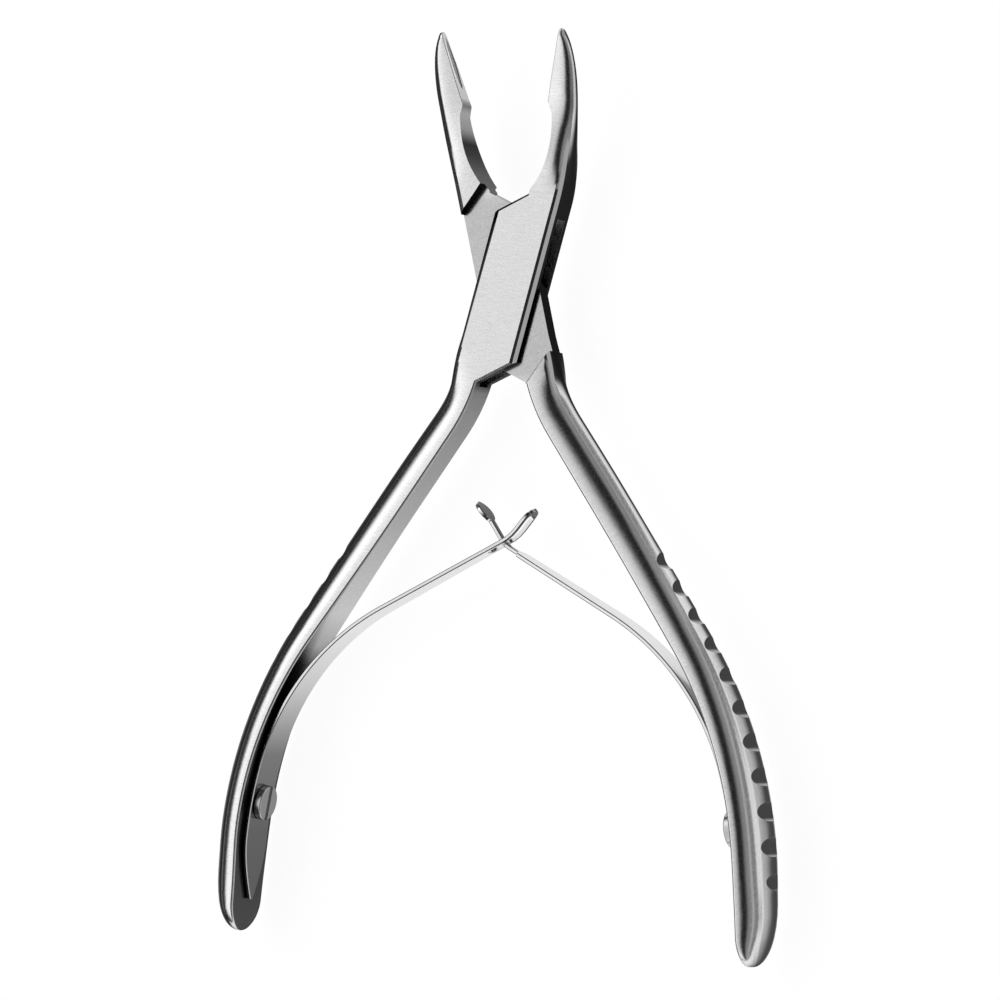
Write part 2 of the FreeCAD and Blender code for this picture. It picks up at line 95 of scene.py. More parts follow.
box_arm_right = placer(-1, False)
box_arm_left = placer(-1, True)
tongue_arm_right = placer(1, False)
tongue_arm_left = placer(1, True)
print("pivot at", tuple(round(v, 4) for v in box_arm_right(0, 0, 0)))

# %% [markdown]
# ## Routes
# A handle or a leaf follows a line in plan made of straight runs and tangent arcs. A run is a
# pair of its length and its turn in degrees. A short function walks along such a line.


# %% Walk along a route
def arc(radius, turn):
    """Run that bends to the left by so many degrees, or to the right if they are negative."""
    return math.radians(abs(turn)) * radius, turn


def walk(start, heading, runs, distance):
    """Point and heading in degrees at a distance along the runs of a route."""
    x, y = start
    for number, (length, turn) in enumerate(runs):
        last = number == len(runs) - 1
        part = distance if last else min(distance, length)
        if turn == 0:
            x += part * math.cos(math.radians(heading))
            y += part * math.sin(math.radians(heading))
        else:
            radius = length / math.radians(turn)
            before = math.radians(heading)
            after = before + part / radius
            x += radius * (math.sin(after) - math.sin(before))
            y -= radius * (math.cos(after) - math.cos(before))
            heading = math.degrees(after)
        distance -= part
        if distance <= 0 and not last:
            break
    return Vector((x, y)), heading


def across(heading):
    """Unit vector square to a heading, on its left."""
    return Vector((-math.sin(math.radians(heading)), math.cos(math.radians(heading))))


print("a quarter circle ends at", walk((0, 0), 0, [arc(10, 90)], math.pi * 5)[0])

# %% [markdown]
# ## The line of a handle
# The flat inner face of a handle is the line to draw from. It leaves the lock almost straight down,
# turns outwards at the root, runs straight, and curves back in for the palm.

# %% Route of the handle
BEND_RADIUS = 63.3
HANDLE_START = (0.12, -9.0)
HANDLE_HEADING = 3.1 - 90
END_RUN = 9.2
HANDLE_RUNS = [(6.0, 0), (8.8, 17.5), (38.1, 0), arc(BEND_RADIUS, -31.5), (END_RUN, 0)]
HANDLE_LENGTH = sum(length for length, turn in HANDLE_RUNS)


def handle_at(distance):
    return walk(HANDLE_START, HANDLE_HEADING, HANDLE_RUNS, distance)


print("handle length", round(HANDLE_LENGTH, 2), "end", handle_at(HANDLE_LENGTH))

# %% [markdown]
# ## Steps and curves
# Small helpers give the places of the rings along a bar, and how its size changes there: evenly,
# in an S-shaped step, or round an end.

# %% Spread, smooth step and rounded end
END_STOP = 0.2


def spread(start, end, count):
    """Evenly spaced places from start to end, both included."""
    return [start + (end - start) * n / count for n in range(count + 1)]


def closing(start, rounding, count):
    """Places over a rounded end, closer and closer, that stop just short of its pole."""
    return [start + rounding * math.sin(math.pi / 2 * n / (count + END_STOP))
            for n in range(1, count + 1)]


def smooth_step(value, start, end):
    """0 before start, 1 after end, with an even S-shaped rise."""
    share = min(max((value - start) / (end - start), 0.0), 1.0)
    return share * share * (3 - 2 * share)


def quarter_round(distance, start, end):
    """1 before start, falling to 0 at end along a quarter of an ellipse."""
    share = min(max((distance - start) / (end - start), 0.0), 1.0)
    return math.sqrt(1 - share * share)


print("rounded end", [round(quarter_round(x, 0, 4), 2) for x in range(5)])

# %% [markdown]
# ## Building a bar ring by ring
# A forged bar changes its section all the way along. By hand you would extrude its end face again
# and again and reshape each new ring. The helper does just that: it adds a filled circle, extrudes
# it once for each ring, and moves the new ring's points onto the section.


# %% Extrude a bar ring by ring
def deselect():
    bpy.ops.object.select_all(action="DESELECT")


def activate(piece):
    deselect()
    piece.select_set(True)
    bpy.context.view_layer.objects.active = piece


def bar(name, rings):
    """Closed solid through rings of points, all with the same number of points."""
    count = len(rings[0])
    deselect()
    bpy.ops.mesh.primitive_circle_add(vertices=count, radius=1, fill_type="NGON")
    piece = bpy.context.object
    piece.name = name
    bpy.ops.object.mode_set(mode="EDIT")
    shape = bmesh.from_edit_mesh(piece.data)
    shape.faces.ensure_lookup_table()
    for vertex, place in zip(shape.faces[0].verts, rings[0]):
        vertex.co = place
    for before, ring in zip(rings, rings[1:]):
        bpy.ops.mesh.extrude_region_move()
        shape = bmesh.from_edit_mesh(piece.data)
        for vertex in (v for v in shape.verts if v.select):
            nearest = min(range(count), key=lambda i: (vertex.co - before[i]).length_squared)
            vertex.co = ring[nearest]
    bpy.ops.mesh.select_all(action="SELECT")
    bpy.ops.mesh.normals_make_consistent(inside=False)
    bpy.ops.object.mode_set(mode="OBJECT")
    return piece


def block(name, outline, low, high, place):
    """Straight prism of a plan outline between two heights of the drawing."""
    rings = [[place(x, y, z) for x, y in outline] for z in (low, high)]
    return bar(name, rings)


# %% [markdown]
# ## Joining and cutting
# Forging joins forms into one bar, and milling and filing take away from it. In Blender both are
# the boolean modifier. The volume and the count of open edges tell at once if it went wrong.

# %% Boolean and cutter
def combine(piece, other, operation):
    """Join or cut two closed pieces with the boolean modifier, and apply it."""
    activate(piece)
    modifier = piece.modifiers.new("combine", "BOOLEAN")
    modifier.operation = operation
    modifier.solver = "EXACT"
    modifier.object = other
    bpy.ops.object.modifier_apply(modifier=modifier.name)
    bpy.data.objects.remove(other)
    shape = bmesh.new()
    shape.from_mesh(piece.data)
    open_edges = sum(1 for edge in shape.edges if not edge.is_manifold)
    volume = round(shape.calc_volume(), 1)
    print(piece.name, operation.lower(), "volume", volume, "mm3, open edges", open_edges)
    shape.free()
    return piece


def apply_place(piece):
    """Put the piece's place, turn and scale into its mesh."""
    activate(piece)
    bpy.ops.object.transform_apply(location=True, rotation=True, scale=True)


def cylinder(name, sides, radius, length, middle, turn=(0, 0, 0)):
    deselect()
    bpy.ops.mesh.primitive_cylinder_add(vertices=sides, radius=radius, depth=length,
                                        location=middle, rotation=turn)
    piece = bpy.context.object
    piece.name = name
    apply_place(piece)
    return piece


# %% [markdown]
# ## The section of jaws and handles
# Seen from its end, a handle is half round on a flat inner face. Near the lock it is milled square
# with bevels instead. Both sections have the same number of points, so that one can be blended
# into the other. The fine ridge on the forged one shows as a thin light line.

# %% Section curves
EDGE = 0.4
CORNER_STEPS = 6
FRONT_STEPS = 10
SIDE_STEPS = 7
BEVEL = 0.64
BROKEN_EDGE = 0.25
BROKEN_OUT = 1.7
BROKEN_DOWN = 0.7
HANDLE_FORM = ((0.34, 1.0), (0.60, 0.93), (0.80, 0.62), (0.90, 0.42), (1.0, 0.22))
JAW_FORM = ((0.50, 1.0), (0.70, 1.0), (0.93, 0.52), (0.97, 0.34), (1.0, 0.2))


def bezier(points, share):
    """Point on a cubic curve."""
    a, b, c, d = (Vector(p) for p in points)
    rest = 1 - share
    return (a * rest ** 3 + b * 3 * rest * rest * share + c * 3 * rest * share * share
            + d * share ** 3)


def milled_points(depth, half, start):
    """Front flat, broken edge, bevel and upright side, all smaller where the bar is thin."""
    bevel = min(BEVEL, 0.4 * depth, 0.5 * half)
    broken = min(BROKEN_EDGE, 0.15 * depth, 0.2 * half)
    flat_end = max(depth - bevel - broken, start)
    flat_steps = FRONT_STEPS - 2
    points = [Vector((start + (flat_end - start) * step / flat_steps, half))
              for step in range(1, flat_steps + 1)]
    points.append(Vector((flat_end + BROKEN_OUT * broken, half - BROKEN_DOWN * broken)))
    points.append(Vector((depth, half - bevel)))
    low = (half - bevel) / SIDE_STEPS
    points += [Vector((depth, low * (SIDE_STEPS - step))) for step in range(1, SIDE_STEPS + 1)]
    return points


def forged_points(depth, half, start, form):
    """Soft shoulder, sloping flank, fine ridge and rounded side, as a bar is forged."""
    first, second, ridge, third, fourth = [(depth * a, half * w) for a, w in form]
    front = [bezier([(start, half), first, second, ridge], step / FRONT_STEPS)
             for step in range(1, FRONT_STEPS + 1)]
    side = [bezier([ridge, third, fourth, (depth, 0)], step / SIDE_STEPS)
            for step in range(1, SIDE_STEPS + 1)]
    return front + side


def section(depth, half, form, forged, edge=EDGE, inner=0.0):
    """Points of a bar section as (depth, height), from the inner face round to it again."""
    edge = min(edge, half / 3, depth / 3)
    upper = []
    for step in range(CORNER_STEPS + 1):
        angle = math.radians(180 - 90 * step / CORNER_STEPS)
        upper.append(Vector((inner + edge + edge * math.cos(angle),
                             half - edge + edge * math.sin(angle))))
    start = inner + edge
    soft = forged_points(depth, half, start, form)
    if forged < 1:
        milled = milled_points(depth, half, start)
        soft = [m.lerp(s, forged) for m, s in zip(milled, soft)]
    upper += soft
    lower = [Vector((p.x, -p.y)) for p in reversed(upper[:-1])]
    return upper + lower


print("points in a section", len(section(5, 3, HANDLE_FORM, 0.5)))

# %% [markdown]
# ## Handles
# The handle leaves the lock at full thickness, widens slowly to the grip and ends round. The rings
# are closer together where the bar bends at its root and where the end rounds off.

# %% Handle sizes
GRIP_START = 28.0
GRIP_FULL = 84.0
ROOT_DEPTH = 4.83
BAR_DEPTH = 5.2
GRIP_DEPTH = 4.8
GRIP_HALF = 5.5
GRIP_NARROWING = 0.7
END_ROUND = 4.3
END_DEPTH_LEAD = 5.0
END_WIDTH_LEAD = 0.6
END_LIFT = 0.5
END_DEPTH_SHARE = 0.12
END_WIDTH_SHARE = 0.06
FORGED_FROM = 1.5
FORGED_FULL = 12.0
ROOT_LENGTH = 16.0


def handle_depth(distance):
    swell = smooth_step(distance, 0, GRIP_START)
    settle = smooth_step(distance, GRIP_START, GRIP_FULL)
    return ROOT_DEPTH + (BAR_DEPTH - ROOT_DEPTH) * swell + (GRIP_DEPTH - BAR_DEPTH) * settle


def handle_half(distance):
    settle = smooth_step(distance, GRIP_START, GRIP_FULL)
    narrowing = GRIP_NARROWING * smooth_step(distance, GRIP_FULL, HANDLE_LENGTH)
    return HALF_LOCK + (GRIP_HALF - HALF_LOCK) * settle - narrowing


print("half width of the grip", round(handle_half(GRIP_FULL), 2))


# %% Rings of a handle
def handle_ring(distance, place):
    end = HANDLE_LENGTH + END_ROUND
    width_share = quarter_round(distance, HANDLE_LENGTH - END_WIDTH_LEAD, end)
    depth_share = quarter_round(distance, HANDLE_LENGTH - END_DEPTH_LEAD, end)
    point, heading = handle_at(distance)
    side = across(heading)
    depth = handle_depth(distance) * (END_DEPTH_SHARE + (1 - END_DEPTH_SHARE) * depth_share)
    half = handle_half(distance) * max(width_share, END_WIDTH_SHARE)
    edge = EDGE * min(width_share * 2, 1.0)
    lift = END_LIFT * (1 - width_share)
    forged = smooth_step(distance, FORGED_FROM, FORGED_FULL)
    return [place(*(point + side * (a + lift)), w)
            for a, w in section(depth, half, HANDLE_FORM, forged, edge)]


def handle_bar(name, place):
    distances = spread(0, ROOT_LENGTH, 14)[:-1] + spread(ROOT_LENGTH, HANDLE_LENGTH, 52)
    distances += closing(HANDLE_LENGTH, END_ROUND, 8)
    return bar(name, [handle_ring(distance, place) for distance in distances])


# %% [markdown]
# ## Finger grooves
# The outer side of each grip has a row of shallow grooves, filed across it. A cylinder as wide as
# a round file is laid across the outer side at each place and cut out.

# %% Cut the finger grooves
GROOVE_COUNT = 11
GROOVE_FIRST = 40.5
GROOVE_PITCH = 4.83
GROOVE_RADIUS = 1.7
GROOVE_DEPTH = 0.85
LAST_GROOVE_DEPTH = 0.55
FILE_LENGTH = 24


def cut_grooves(handle, place):
    for number in range(GROOVE_COUNT):
        distance = GROOVE_FIRST + GROOVE_PITCH * number
        point, heading = handle_at(distance)
        depth = LAST_GROOVE_DEPTH if number == GROOVE_COUNT - 1 else GROOVE_DEPTH
        centre = point + across(heading) * (handle_depth(distance) - depth + GROOVE_RADIUS)
        round_file = cylinder("round_file", 40, GROOVE_RADIUS, FILE_LENGTH, place(*centre, 0))
        combine(handle, round_file, "DIFFERENCE")
    return handle


# %% [markdown]
# ## Jaws
# A jaw starts as wide and thick as the lock, bends upwards, and tapers to a narrow bite. Its inner
# face is flat. It is drawn like the handle, ring by ring, but its line rises instead of turning in
# plan.

# %% Jaw sizes
JAW_BEND_AT = 14.0
JAW_RISE = [arc(25.0, 18.5), (18.47, 0)]
JAW_WIDTH = 4.95
PLAN_START = 13.0
PLAN_TIP = 39.4
PLAN_POWER = 3.2
PLAN_ROOT = 0.61
TAPER_START = 19.5
TAPER_END = 30.0
BITE_HALF = 1.4
BITE_NARROWING = 0.55
NOSE_ROUND = 1.1
NOSE_DEPTH = 1.25
NOSE_START = 37.6
NOSE_END = 39.6
LEAST_DEPTH = 0.4
LEAST_SHARE = 0.1
BITE_GAP = 0.03


def jaw_outer(y):
    share = min(max((y - PLAN_START) / (PLAN_TIP - PLAN_START), 0.0), 1.0)
    return JAW_WIDTH * (1 - share ** PLAN_POWER) ** PLAN_ROOT


def jaw_half(y):
    narrow = smooth_step(y, TAPER_START, TAPER_END)
    bite = BITE_HALF - BITE_NARROWING * smooth_step(y, TAPER_END, PLAN_TIP)
    return HALF_LOCK + (bite - HALF_LOCK) * narrow


def jaw_at(distance, begin):
    """Place along y and height of the jaw's middle line, and its slope in degrees."""
    return walk((begin, 0.0), 0.0, [(JAW_BEND_AT - begin, 0)] + JAW_RISE, distance)


print("jaw width at root, middle and bite", [round(jaw_outer(y), 2) for y in (13, 26, 36)])


# %% Rings of a jaw
def jaw_ring(distance, length, begin, softness, place):
    rounding = quarter_round(distance, length - NOSE_ROUND, length)
    spot, slope = jaw_at(distance, begin)
    tilt = across(slope)
    half = jaw_half(spot.x) * max(rounding, LEAST_SHARE)
    nose = NOSE_DEPTH * quarter_round(spot.x, NOSE_START, NOSE_END)
    depth = max(jaw_outer(spot.x), nose, LEAST_DEPTH)
    edge = 0.05 + 0.08 * smooth_step(spot.x, 16, 26)
    forged = softness * smooth_step(spot.x, 14.5, 24)
    return [place(a, spot.x + tilt.x * w, spot.y + tilt.y * w)
            for a, w in section(depth, half, JAW_FORM, forged, edge, BITE_GAP)]


def jaw_bar(name, begin, softness, place):
    length = JAW_BEND_AT - begin + sum(run for run, turn in JAW_RISE)
    body = length - NOSE_ROUND
    distances = spread(0, body, 40) + closing(body, NOSE_ROUND, 6)
    return bar(name, [jaw_ring(distance, length, begin, softness, place)
                      for distance in distances])


# %% [markdown]
# ## Hollow and cup
# Below the bite each jaw is hollowed out, so that bone has room between the open jaws. The bite
# itself is scooped like a small spoon. A prism cuts the hollow, and a stretched ball the cup.

# %% Hollow the jaw and scoop the cup
RELIEF_START = 15.2
RELIEF_LENGTH = 11.8
RELIEF_TOP = 28.5
RELIEF_BULGE = 1.55
RELIEF_SKEW = 0.15
RELIEF_END_DEPTH = 1.0
RELIEF_OUTSIDE = -9.0
CUTTER_REACH = 20
CUP_FROM_TIP = 5.1
CUP_HALF_LENGTH = 4.1
CUP_HALF_WIDTH = 1.05
CUP_DEPTH = 0.8


def relief_outline():
    """Curved hollow from the root of the jaw to the step below the bite."""
    curve = []
    for share in spread(0, 1, 12):
        bulge = 4 * RELIEF_BULGE * share * (1 - share) * (1 - RELIEF_SKEW * share)
        curve.append((bulge + RELIEF_END_DEPTH * share ** 2, RELIEF_START + RELIEF_LENGTH * share))
    return curve + [(BITE_GAP, RELIEF_TOP), (RELIEF_OUTSIDE, RELIEF_TOP),
                    (RELIEF_OUTSIDE, RELIEF_START)]


def hollow_jaw(jaw, place):
    relief = block("relief", relief_outline(), -CUTTER_REACH, CUTTER_REACH, place)
    combine(jaw, relief, "DIFFERENCE")
    spot, slope = jaw_at(sum(run for run, turn in JAW_RISE) - CUP_FROM_TIP, JAW_BEND_AT)
    tilt = across(slope)
    along = Vector((tilt.y, -tilt.x))
    deselect()
    bpy.ops.mesh.primitive_uv_sphere_add(segments=32, ring_count=20, radius=1)
    cup = bpy.context.object
    for vertex in cup.data.vertices:
        x, y, z = vertex.co
        reach = along * (y * CUP_HALF_LENGTH) + tilt * (z * CUP_HALF_WIDTH)
        vertex.co = place(BITE_GAP + x * CUP_DEPTH, spot.x + reach.x, spot.y + reach.y)
    bpy.ops.object.mode_set(mode="EDIT")
    bpy.ops.mesh.normals_make_consistent(inside=False)
    bpy.ops.object.mode_set(mode="OBJECT")
    return combine(jaw, cup, "DIFFERENCE")


# %% [markdown]
# ## The box lock
# The box is a flat plate with slanted ends and a slot right through its middle. The tongue of the
# other arm fills the slot. Both are drawn as plan outlines and raised, as they would be milled.

# %% Lock sizes
LOCK_HALF_WIDTH = 4.95
LOCK_SLOPE = math.radians(40.0)
CHEEK_REACH = 11.2
TONGUE_REACH = 11.4
SLOT_REACH = 12.25
SLOT_HALF = 1.45
TONGUE_HALF = 1.4
TONGUE_BLOCK_HALF = 2.9
JAW_SHOULDER = 12.9
HANDLE_SHOULDER = 11.8
BLOCK_TOP = 14.0
BLOCK_BOTTOM = -10.5
SIDE_END = -8.9
MIDDLE_GAP = 0.05
ROOT_OVERLAP = 0.8
HAIR = 0.004
TONGUE_HAIR = 0.02
FAR = 3 * LOCK_HALF_WIDTH


def slanted(x, reach, rise):
    """Height in plan of a slanted shoulder that lies at a reach from the pivot."""
    return (reach + rise * x * math.sin(LOCK_SLOPE)) / math.cos(LOCK_SLOPE)


def band(low_reach, high_reach, rise):
    """Outline of a slanted band right across the lock, between two reaches from the pivot."""
    return [
        (-FAR, -slanted(FAR, low_reach, rise)),
        (FAR, -slanted(-FAR, low_reach, rise)),
        (FAR, slanted(FAR, high_reach, rise)),
        (-FAR, slanted(-FAR, high_reach, rise)),
    ]


print("box ends", round(slanted(0, CHEEK_REACH, 1), 2), "mm from the pivot")

# %% [markdown]
# ## Bevels of the lock
# The long edges of the lock are bevelled, and the inner edge of each bevel is broken: the thin
# lines beside the flat in the photograph. The edges are found by their place and run.

# %% Bevel chosen edges
CHEEK_EDGE = 0.35
NEAR = 0.01
PARALLEL = 0.99
LEAST_SIDE = 6
LEAST_SHOULDER = 3


def bevel_edges(piece, wanted, offset, segments=1):
    """Bevel those edges of a piece that the wanted test picks from their middle and run."""
    activate(piece)
    bpy.ops.object.mode_set(mode="EDIT")
    bpy.ops.mesh.select_all(action="DESELECT")
    bpy.ops.mesh.select_mode(type="EDGE")
    count = 0
    for edge in bmesh.from_edit_mesh(piece.data).edges:
        middle = (edge.verts[0].co + edge.verts[1].co) / 2
        run = edge.verts[1].co - edge.verts[0].co
        if wanted(middle, run):
            edge.select_set(True)
            count += 1
    bpy.ops.mesh.bevel(offset=offset, segments=segments)
    bpy.ops.object.mode_set(mode="OBJECT")
    print(piece.name, "bevelled", count, "edges by", offset, "mm")


def follows(run, direction, least):
    return abs(run.normalized().dot(direction)) > PARALLEL and run.length > least


def on_flat(point, half):
    return abs(abs(point.z - HALF_LOCK) - half) < NEAR


def direction_of(place, x, y):
    return (place(x, y, 0) - place(0, 0, 0)).normalized()


def bevel_sides(piece, sign, width, half, place):
    """Bevel the long edges on one side of the lock, then break the inner edge of that bevel."""
    size = BEVEL - HALF_LOCK + half
    corner = place(sign * width, 0, 0)
    along = direction_of(place, 0, 1)
    outward = direction_of(place, sign, 0)

    def long_edge_at(inset):
        def wanted(middle, run):
            beside = abs((middle - corner).dot(outward) + inset) < NEAR
            return follows(run, along, LEAST_SIDE) and on_flat(middle, half) and beside
        return wanted

    bevel_edges(piece, long_edge_at(0.0), size)
    bevel_edges(piece, long_edge_at(size), BROKEN_EDGE)


def bevel_cheeks(piece, place):
    """Break the front and back edges of the slanted ends of the box."""
    slope = direction_of(place, math.cos(LOCK_SLOPE), math.sin(LOCK_SLOPE))

    def wanted(middle, run):
        return follows(run, slope, LEAST_SHOULDER) and on_flat(middle, HALF_LOCK)

    bevel_edges(piece, wanted, CHEEK_EDGE)


# %% [markdown]
# ## The box arm
# The box grows out into the right jaw above and the left handle below. The block is bevelled
# while it is still plain, jaw and handle are joined to it, and the slot goes through last.

# %% Box arm
width = LOCK_HALF_WIDTH - HAIR
inside = -HANDLE_START[0] - ROOT_OVERLAP
box_outline = [
    (-width, slanted(-width, CHEEK_REACH, 1)),
    (MIDDLE_GAP, slanted(MIDDLE_GAP, CHEEK_REACH, 1)),
    (MIDDLE_GAP, BLOCK_TOP),
    (width, BLOCK_TOP),
    (width, -slanted(-width, CHEEK_REACH, 1)),
    (inside, -slanted(-inside, CHEEK_REACH, 1)),
    (inside, BLOCK_BOTTOM),
    (-4.3, BLOCK_BOTTOM),
    (-4.3, SIDE_END),
    (-width, SIDE_END),
]
box = block("box_arm_form", box_outline, -HALF_LOCK, HALF_LOCK, box_arm_right)
for sign in (1, -1):
    bevel_sides(box, sign, width, HALF_LOCK, box_arm_right)
bevel_cheeks(box, box_arm_right)
box_jaw = hollow_jaw(jaw_bar("box_jaw", 13.0, 1.0, box_arm_right), box_arm_right)
box_handle = cut_grooves(handle_bar("box_handle", box_arm_left), box_arm_left)
combine(box, box_jaw, "UNION")
combine(box, box_handle, "UNION")
slot = block("slot", band(SLOT_REACH, SLOT_REACH, -1), -SLOT_HALF, SLOT_HALF, box_arm_right)
combine(box, slot, "DIFFERENCE")
print("box arm faces", len(box.data.polygons))

# %% [markdown]
# ## The tongue arm
# The other arm starts from a block that is a hair smaller. Both its faces are milled down to the
# tongue between two slanted shoulders. The shoulder over the handle has its edge broken as well,
# with a long three-sided bar.

# %% Tongue arm
MILL_REACH = 12
SHOULDER_CUT = ((-0.6, 0.3), (0.4, 0.3), (0.4, -0.45))
width = LOCK_HALF_WIDTH - TONGUE_HAIR
inside = HANDLE_START[0] + ROOT_OVERLAP
tongue_outline = [
    (-width, -slanted(width, TONGUE_REACH, -1)),
    (-width, BLOCK_TOP),
    (-MIDDLE_GAP, BLOCK_TOP),
    (-MIDDLE_GAP, slanted(-MIDDLE_GAP, TONGUE_REACH, -1)),
    (width, slanted(width, TONGUE_REACH, -1)),
    (width, SIDE_END),
    (4.8, BLOCK_BOTTOM),
    (inside, BLOCK_BOTTOM),
    (inside, -slanted(-inside, TONGUE_REACH, -1)),
]
tongue = block("tongue_arm_form", tongue_outline, -TONGUE_BLOCK_HALF, TONGUE_BLOCK_HALF,
               tongue_arm_right)
bevel_sides(tongue, -1, width, TONGUE_BLOCK_HALF, tongue_arm_right)
tongue_jaw = hollow_jaw(jaw_bar("tongue_jaw", 10.0, 0.4, tongue_arm_left), tongue_arm_left)
tongue_handle = cut_grooves(handle_bar("tongue_handle", tongue_arm_right), tongue_arm_right)
combine(tongue, tongue_jaw, "UNION")
combine(tongue, tongue_handle, "UNION")
milled_band = band(HANDLE_SHOULDER, JAW_SHOULDER, 1)
for low, high in ((TONGUE_HALF, MILL_REACH), (-MILL_REACH, -TONGUE_HALF)):
    combine(tongue, block("mill", milled_band, low, high, tongue_arm_right), "DIFFERENCE")
broken = [[tongue_arm_right(x, -slanted(-x, HANDLE_SHOULDER, 1) + step, HALF_LOCK + height)
           for step, height in SHOULDER_CUT] for x in (-FAR, FAR)]
combine(tongue, bar("broken_shoulder", broken), "DIFFERENCE")
print("tongue arm faces", len(tongue.data.polygons))

# %% [markdown]
# ## Smooth and sharp edges
# Polished steel is smooth where a curve runs on and sharp where two ground faces meet. Shading by
# angle keeps both: only edges that turn more than the given angle stay sharp. Weighted normals
# let the large flats reflect as true flats.

# %% Shade by angle
ARM_ANGLE = 20
SMALL_ANGLE = 35
DOUBLES_WITHIN = 0.002


def finish_mesh(piece, angle):
    activate(piece)
    bpy.ops.object.mode_set(mode="EDIT")
    bpy.ops.mesh.select_all(action="SELECT")
    bpy.ops.mesh.remove_doubles(threshold=DOUBLES_WITHIN)
    bpy.ops.mesh.normals_make_consistent(inside=False)
    bpy.ops.object.mode_set(mode="OBJECT")
    bpy.ops.object.shade_smooth_by_angle(angle=math.radians(angle))
    modifier = piece.modifiers.new("flats", "WEIGHTED_NORMAL")
    modifier.weight = 100
    modifier.keep_sharp = True
    bpy.ops.object.modifier_apply(modifier=modifier.name)
    print(piece.name, "finished with", len(piece.data.vertices), "points")


for arm in (box, tongue):
    finish_mesh(arm, ARM_ANGLE)

# %% [markdown]
# ## Leaf springs
# A leaf is a strip of spring steel, six tenths of a millimetre thick. It is clamped along the inner
# face of the handle, lifts off in one long bend, and runs straight to the crossing. There the right
# leaf narrows to a neck with a paddle, which passes through the long loop of the left leaf.

# %% Leaf routes
LEAF_THICKNESS = 0.6
SEAT_GAP = 0.15
TAIL_AT = 96.2
LIFT_AT = 74.3
LEAF_STRAIGHT = 21.3
PADDLE_LENGTH = 3.8
BEND_END = HANDLE_LENGTH - END_RUN
offset = SEAT_GAP + LEAF_THICKNESS / 2
tail_point, tail_heading = handle_at(TAIL_AT)
leaf_start = tail_point - across(tail_heading) * offset
seat_turn = math.degrees((BEND_END - LIFT_AT) / BEND_RADIUS)
LEAF_RUNS = [(TAIL_AT - BEND_END, 0), arc(BEND_RADIUS - offset, seat_turn), arc(39.2, 46.1)]
CROSSING = sum(length for length, turn in LEAF_RUNS) + LEAF_STRAIGHT
LOOP_RUNS = LEAF_RUNS + [(LEAF_STRAIGHT + 1.2, 0), arc(7.0, -23.5), (2.0, 0), arc(8.0, 14.0)]
PADDLE_RUNS = LEAF_RUNS + [(LEAF_STRAIGHT - 0.9, 0), arc(4.0, -27.0), (3.2, 0),
                           (PADDLE_LENGTH, 15.0)]
loop_end = sum(length for length, turn in LOOP_RUNS)
paddle_end = sum(length for length, turn in PADDLE_RUNS)
print("leaf lengths", round(loop_end, 1), round(paddle_end, 1))

# %% Strip of a leaf
TAIL_LENGTH = 9.5
TAIL_TIP_HALF = 0.35
LEAF_ROOT_HALF = 3.3
LEAF_TIP_HALF = 1.75
LEAF_EDGE = 0.12
LIFT = TAIL_AT - LIFT_AT


def leaf_half(distance):
    """Half width of a blade: pointed arch at the tail, then a slow taper to the crossing."""
    arch = min(distance / TAIL_LENGTH, 1.0)
    taper = min(max((distance - LIFT) / (CROSSING - LIFT), 0.0), 1.0)
    full = LEAF_ROOT_HALF + (LEAF_TIP_HALF - LEAF_ROOT_HALF) * taper
    return TAIL_TIP_HALF + (full - TAIL_TIP_HALF) * math.sin(math.pi / 2 * arch)


def strip(name, runs, distances, half_width, thickness, place, edge=LEAF_EDGE):
    """Bent strip with softened edges."""
    thick = thickness / 2
    rings = []
    for distance in distances:
        point, heading = walk(leaf_start, tail_heading + 180, runs, distance)
        side = across(heading)
        half = half_width(distance)
        corner = min(edge, half / 2)
        quarter = [(thick - corner, half), (thick, half - corner)]
        right = quarter + [(t, -w) for t, w in reversed(quarter)]
        ring = [(-t, -w) for t, w in right[2:]] + right + [(-t, -w) for t, w in right[:2]]
        rings.append([place(*(point + side * t), w) for t, w in ring])
    return bar(name, rings)


print("half width of a leaf past its tail", round(leaf_half(TAIL_LENGTH), 2))

# %% [markdown]
# ## Left leaf with its loop
# The loop is the end of the strip with a long slot through it, leaving a thin rail all round. The
# slot has round ends, as a milled one has. It is cut with a thicker strip along the same route.

# %% Left leaf
LOOP_ROUND = 2.0
LOOP_SLOT_HALF = 1.15
LOOP_SLOT_LEAD = 2.2
LOOP_RAIL = 0.85
slot_start = CROSSING - LOOP_SLOT_LEAD
slot_end = loop_end - LOOP_RAIL


def loop_half(distance):
    rounding = quarter_round(distance, loop_end - LOOP_ROUND, loop_end)
    return max(leaf_half(distance) * rounding, 0.12)


def slot_half(distance):
    opened = quarter_round(-distance, -slot_start - LOOP_SLOT_HALF, -slot_start)
    closed = quarter_round(distance, slot_end - LOOP_SLOT_HALF, slot_end)
    return max(LOOP_SLOT_HALF * opened * closed, 0.05)


places = spread(0, TAIL_LENGTH, 12) + spread(TAIL_LENGTH, loop_end - LOOP_ROUND, 70)[1:]
places += closing(loop_end - LOOP_ROUND, LOOP_ROUND, 8)
left_leaf = strip("slotted_spring_form", LOOP_RUNS, places, loop_half, LEAF_THICKNESS,
                  box_arm_left)
rise = [LOOP_SLOT_HALF * (1 - math.cos(math.pi / 2 * n / 6)) for n in range(7)]
slot_places = [slot_start + step for step in rise]
slot_places += spread(slot_start + LOOP_SLOT_HALF, slot_end - LOOP_SLOT_HALF, 16)[1:-1]
slot_places += [slot_end - step for step in reversed(rise)]
loop_slot = strip("loop_slot", LOOP_RUNS, slot_places, slot_half, 3.0, box_arm_left, 0.0)
combine(left_leaf, loop_slot, "DIFFERENCE")
finish_mesh(left_leaf, SMALL_ANGLE)

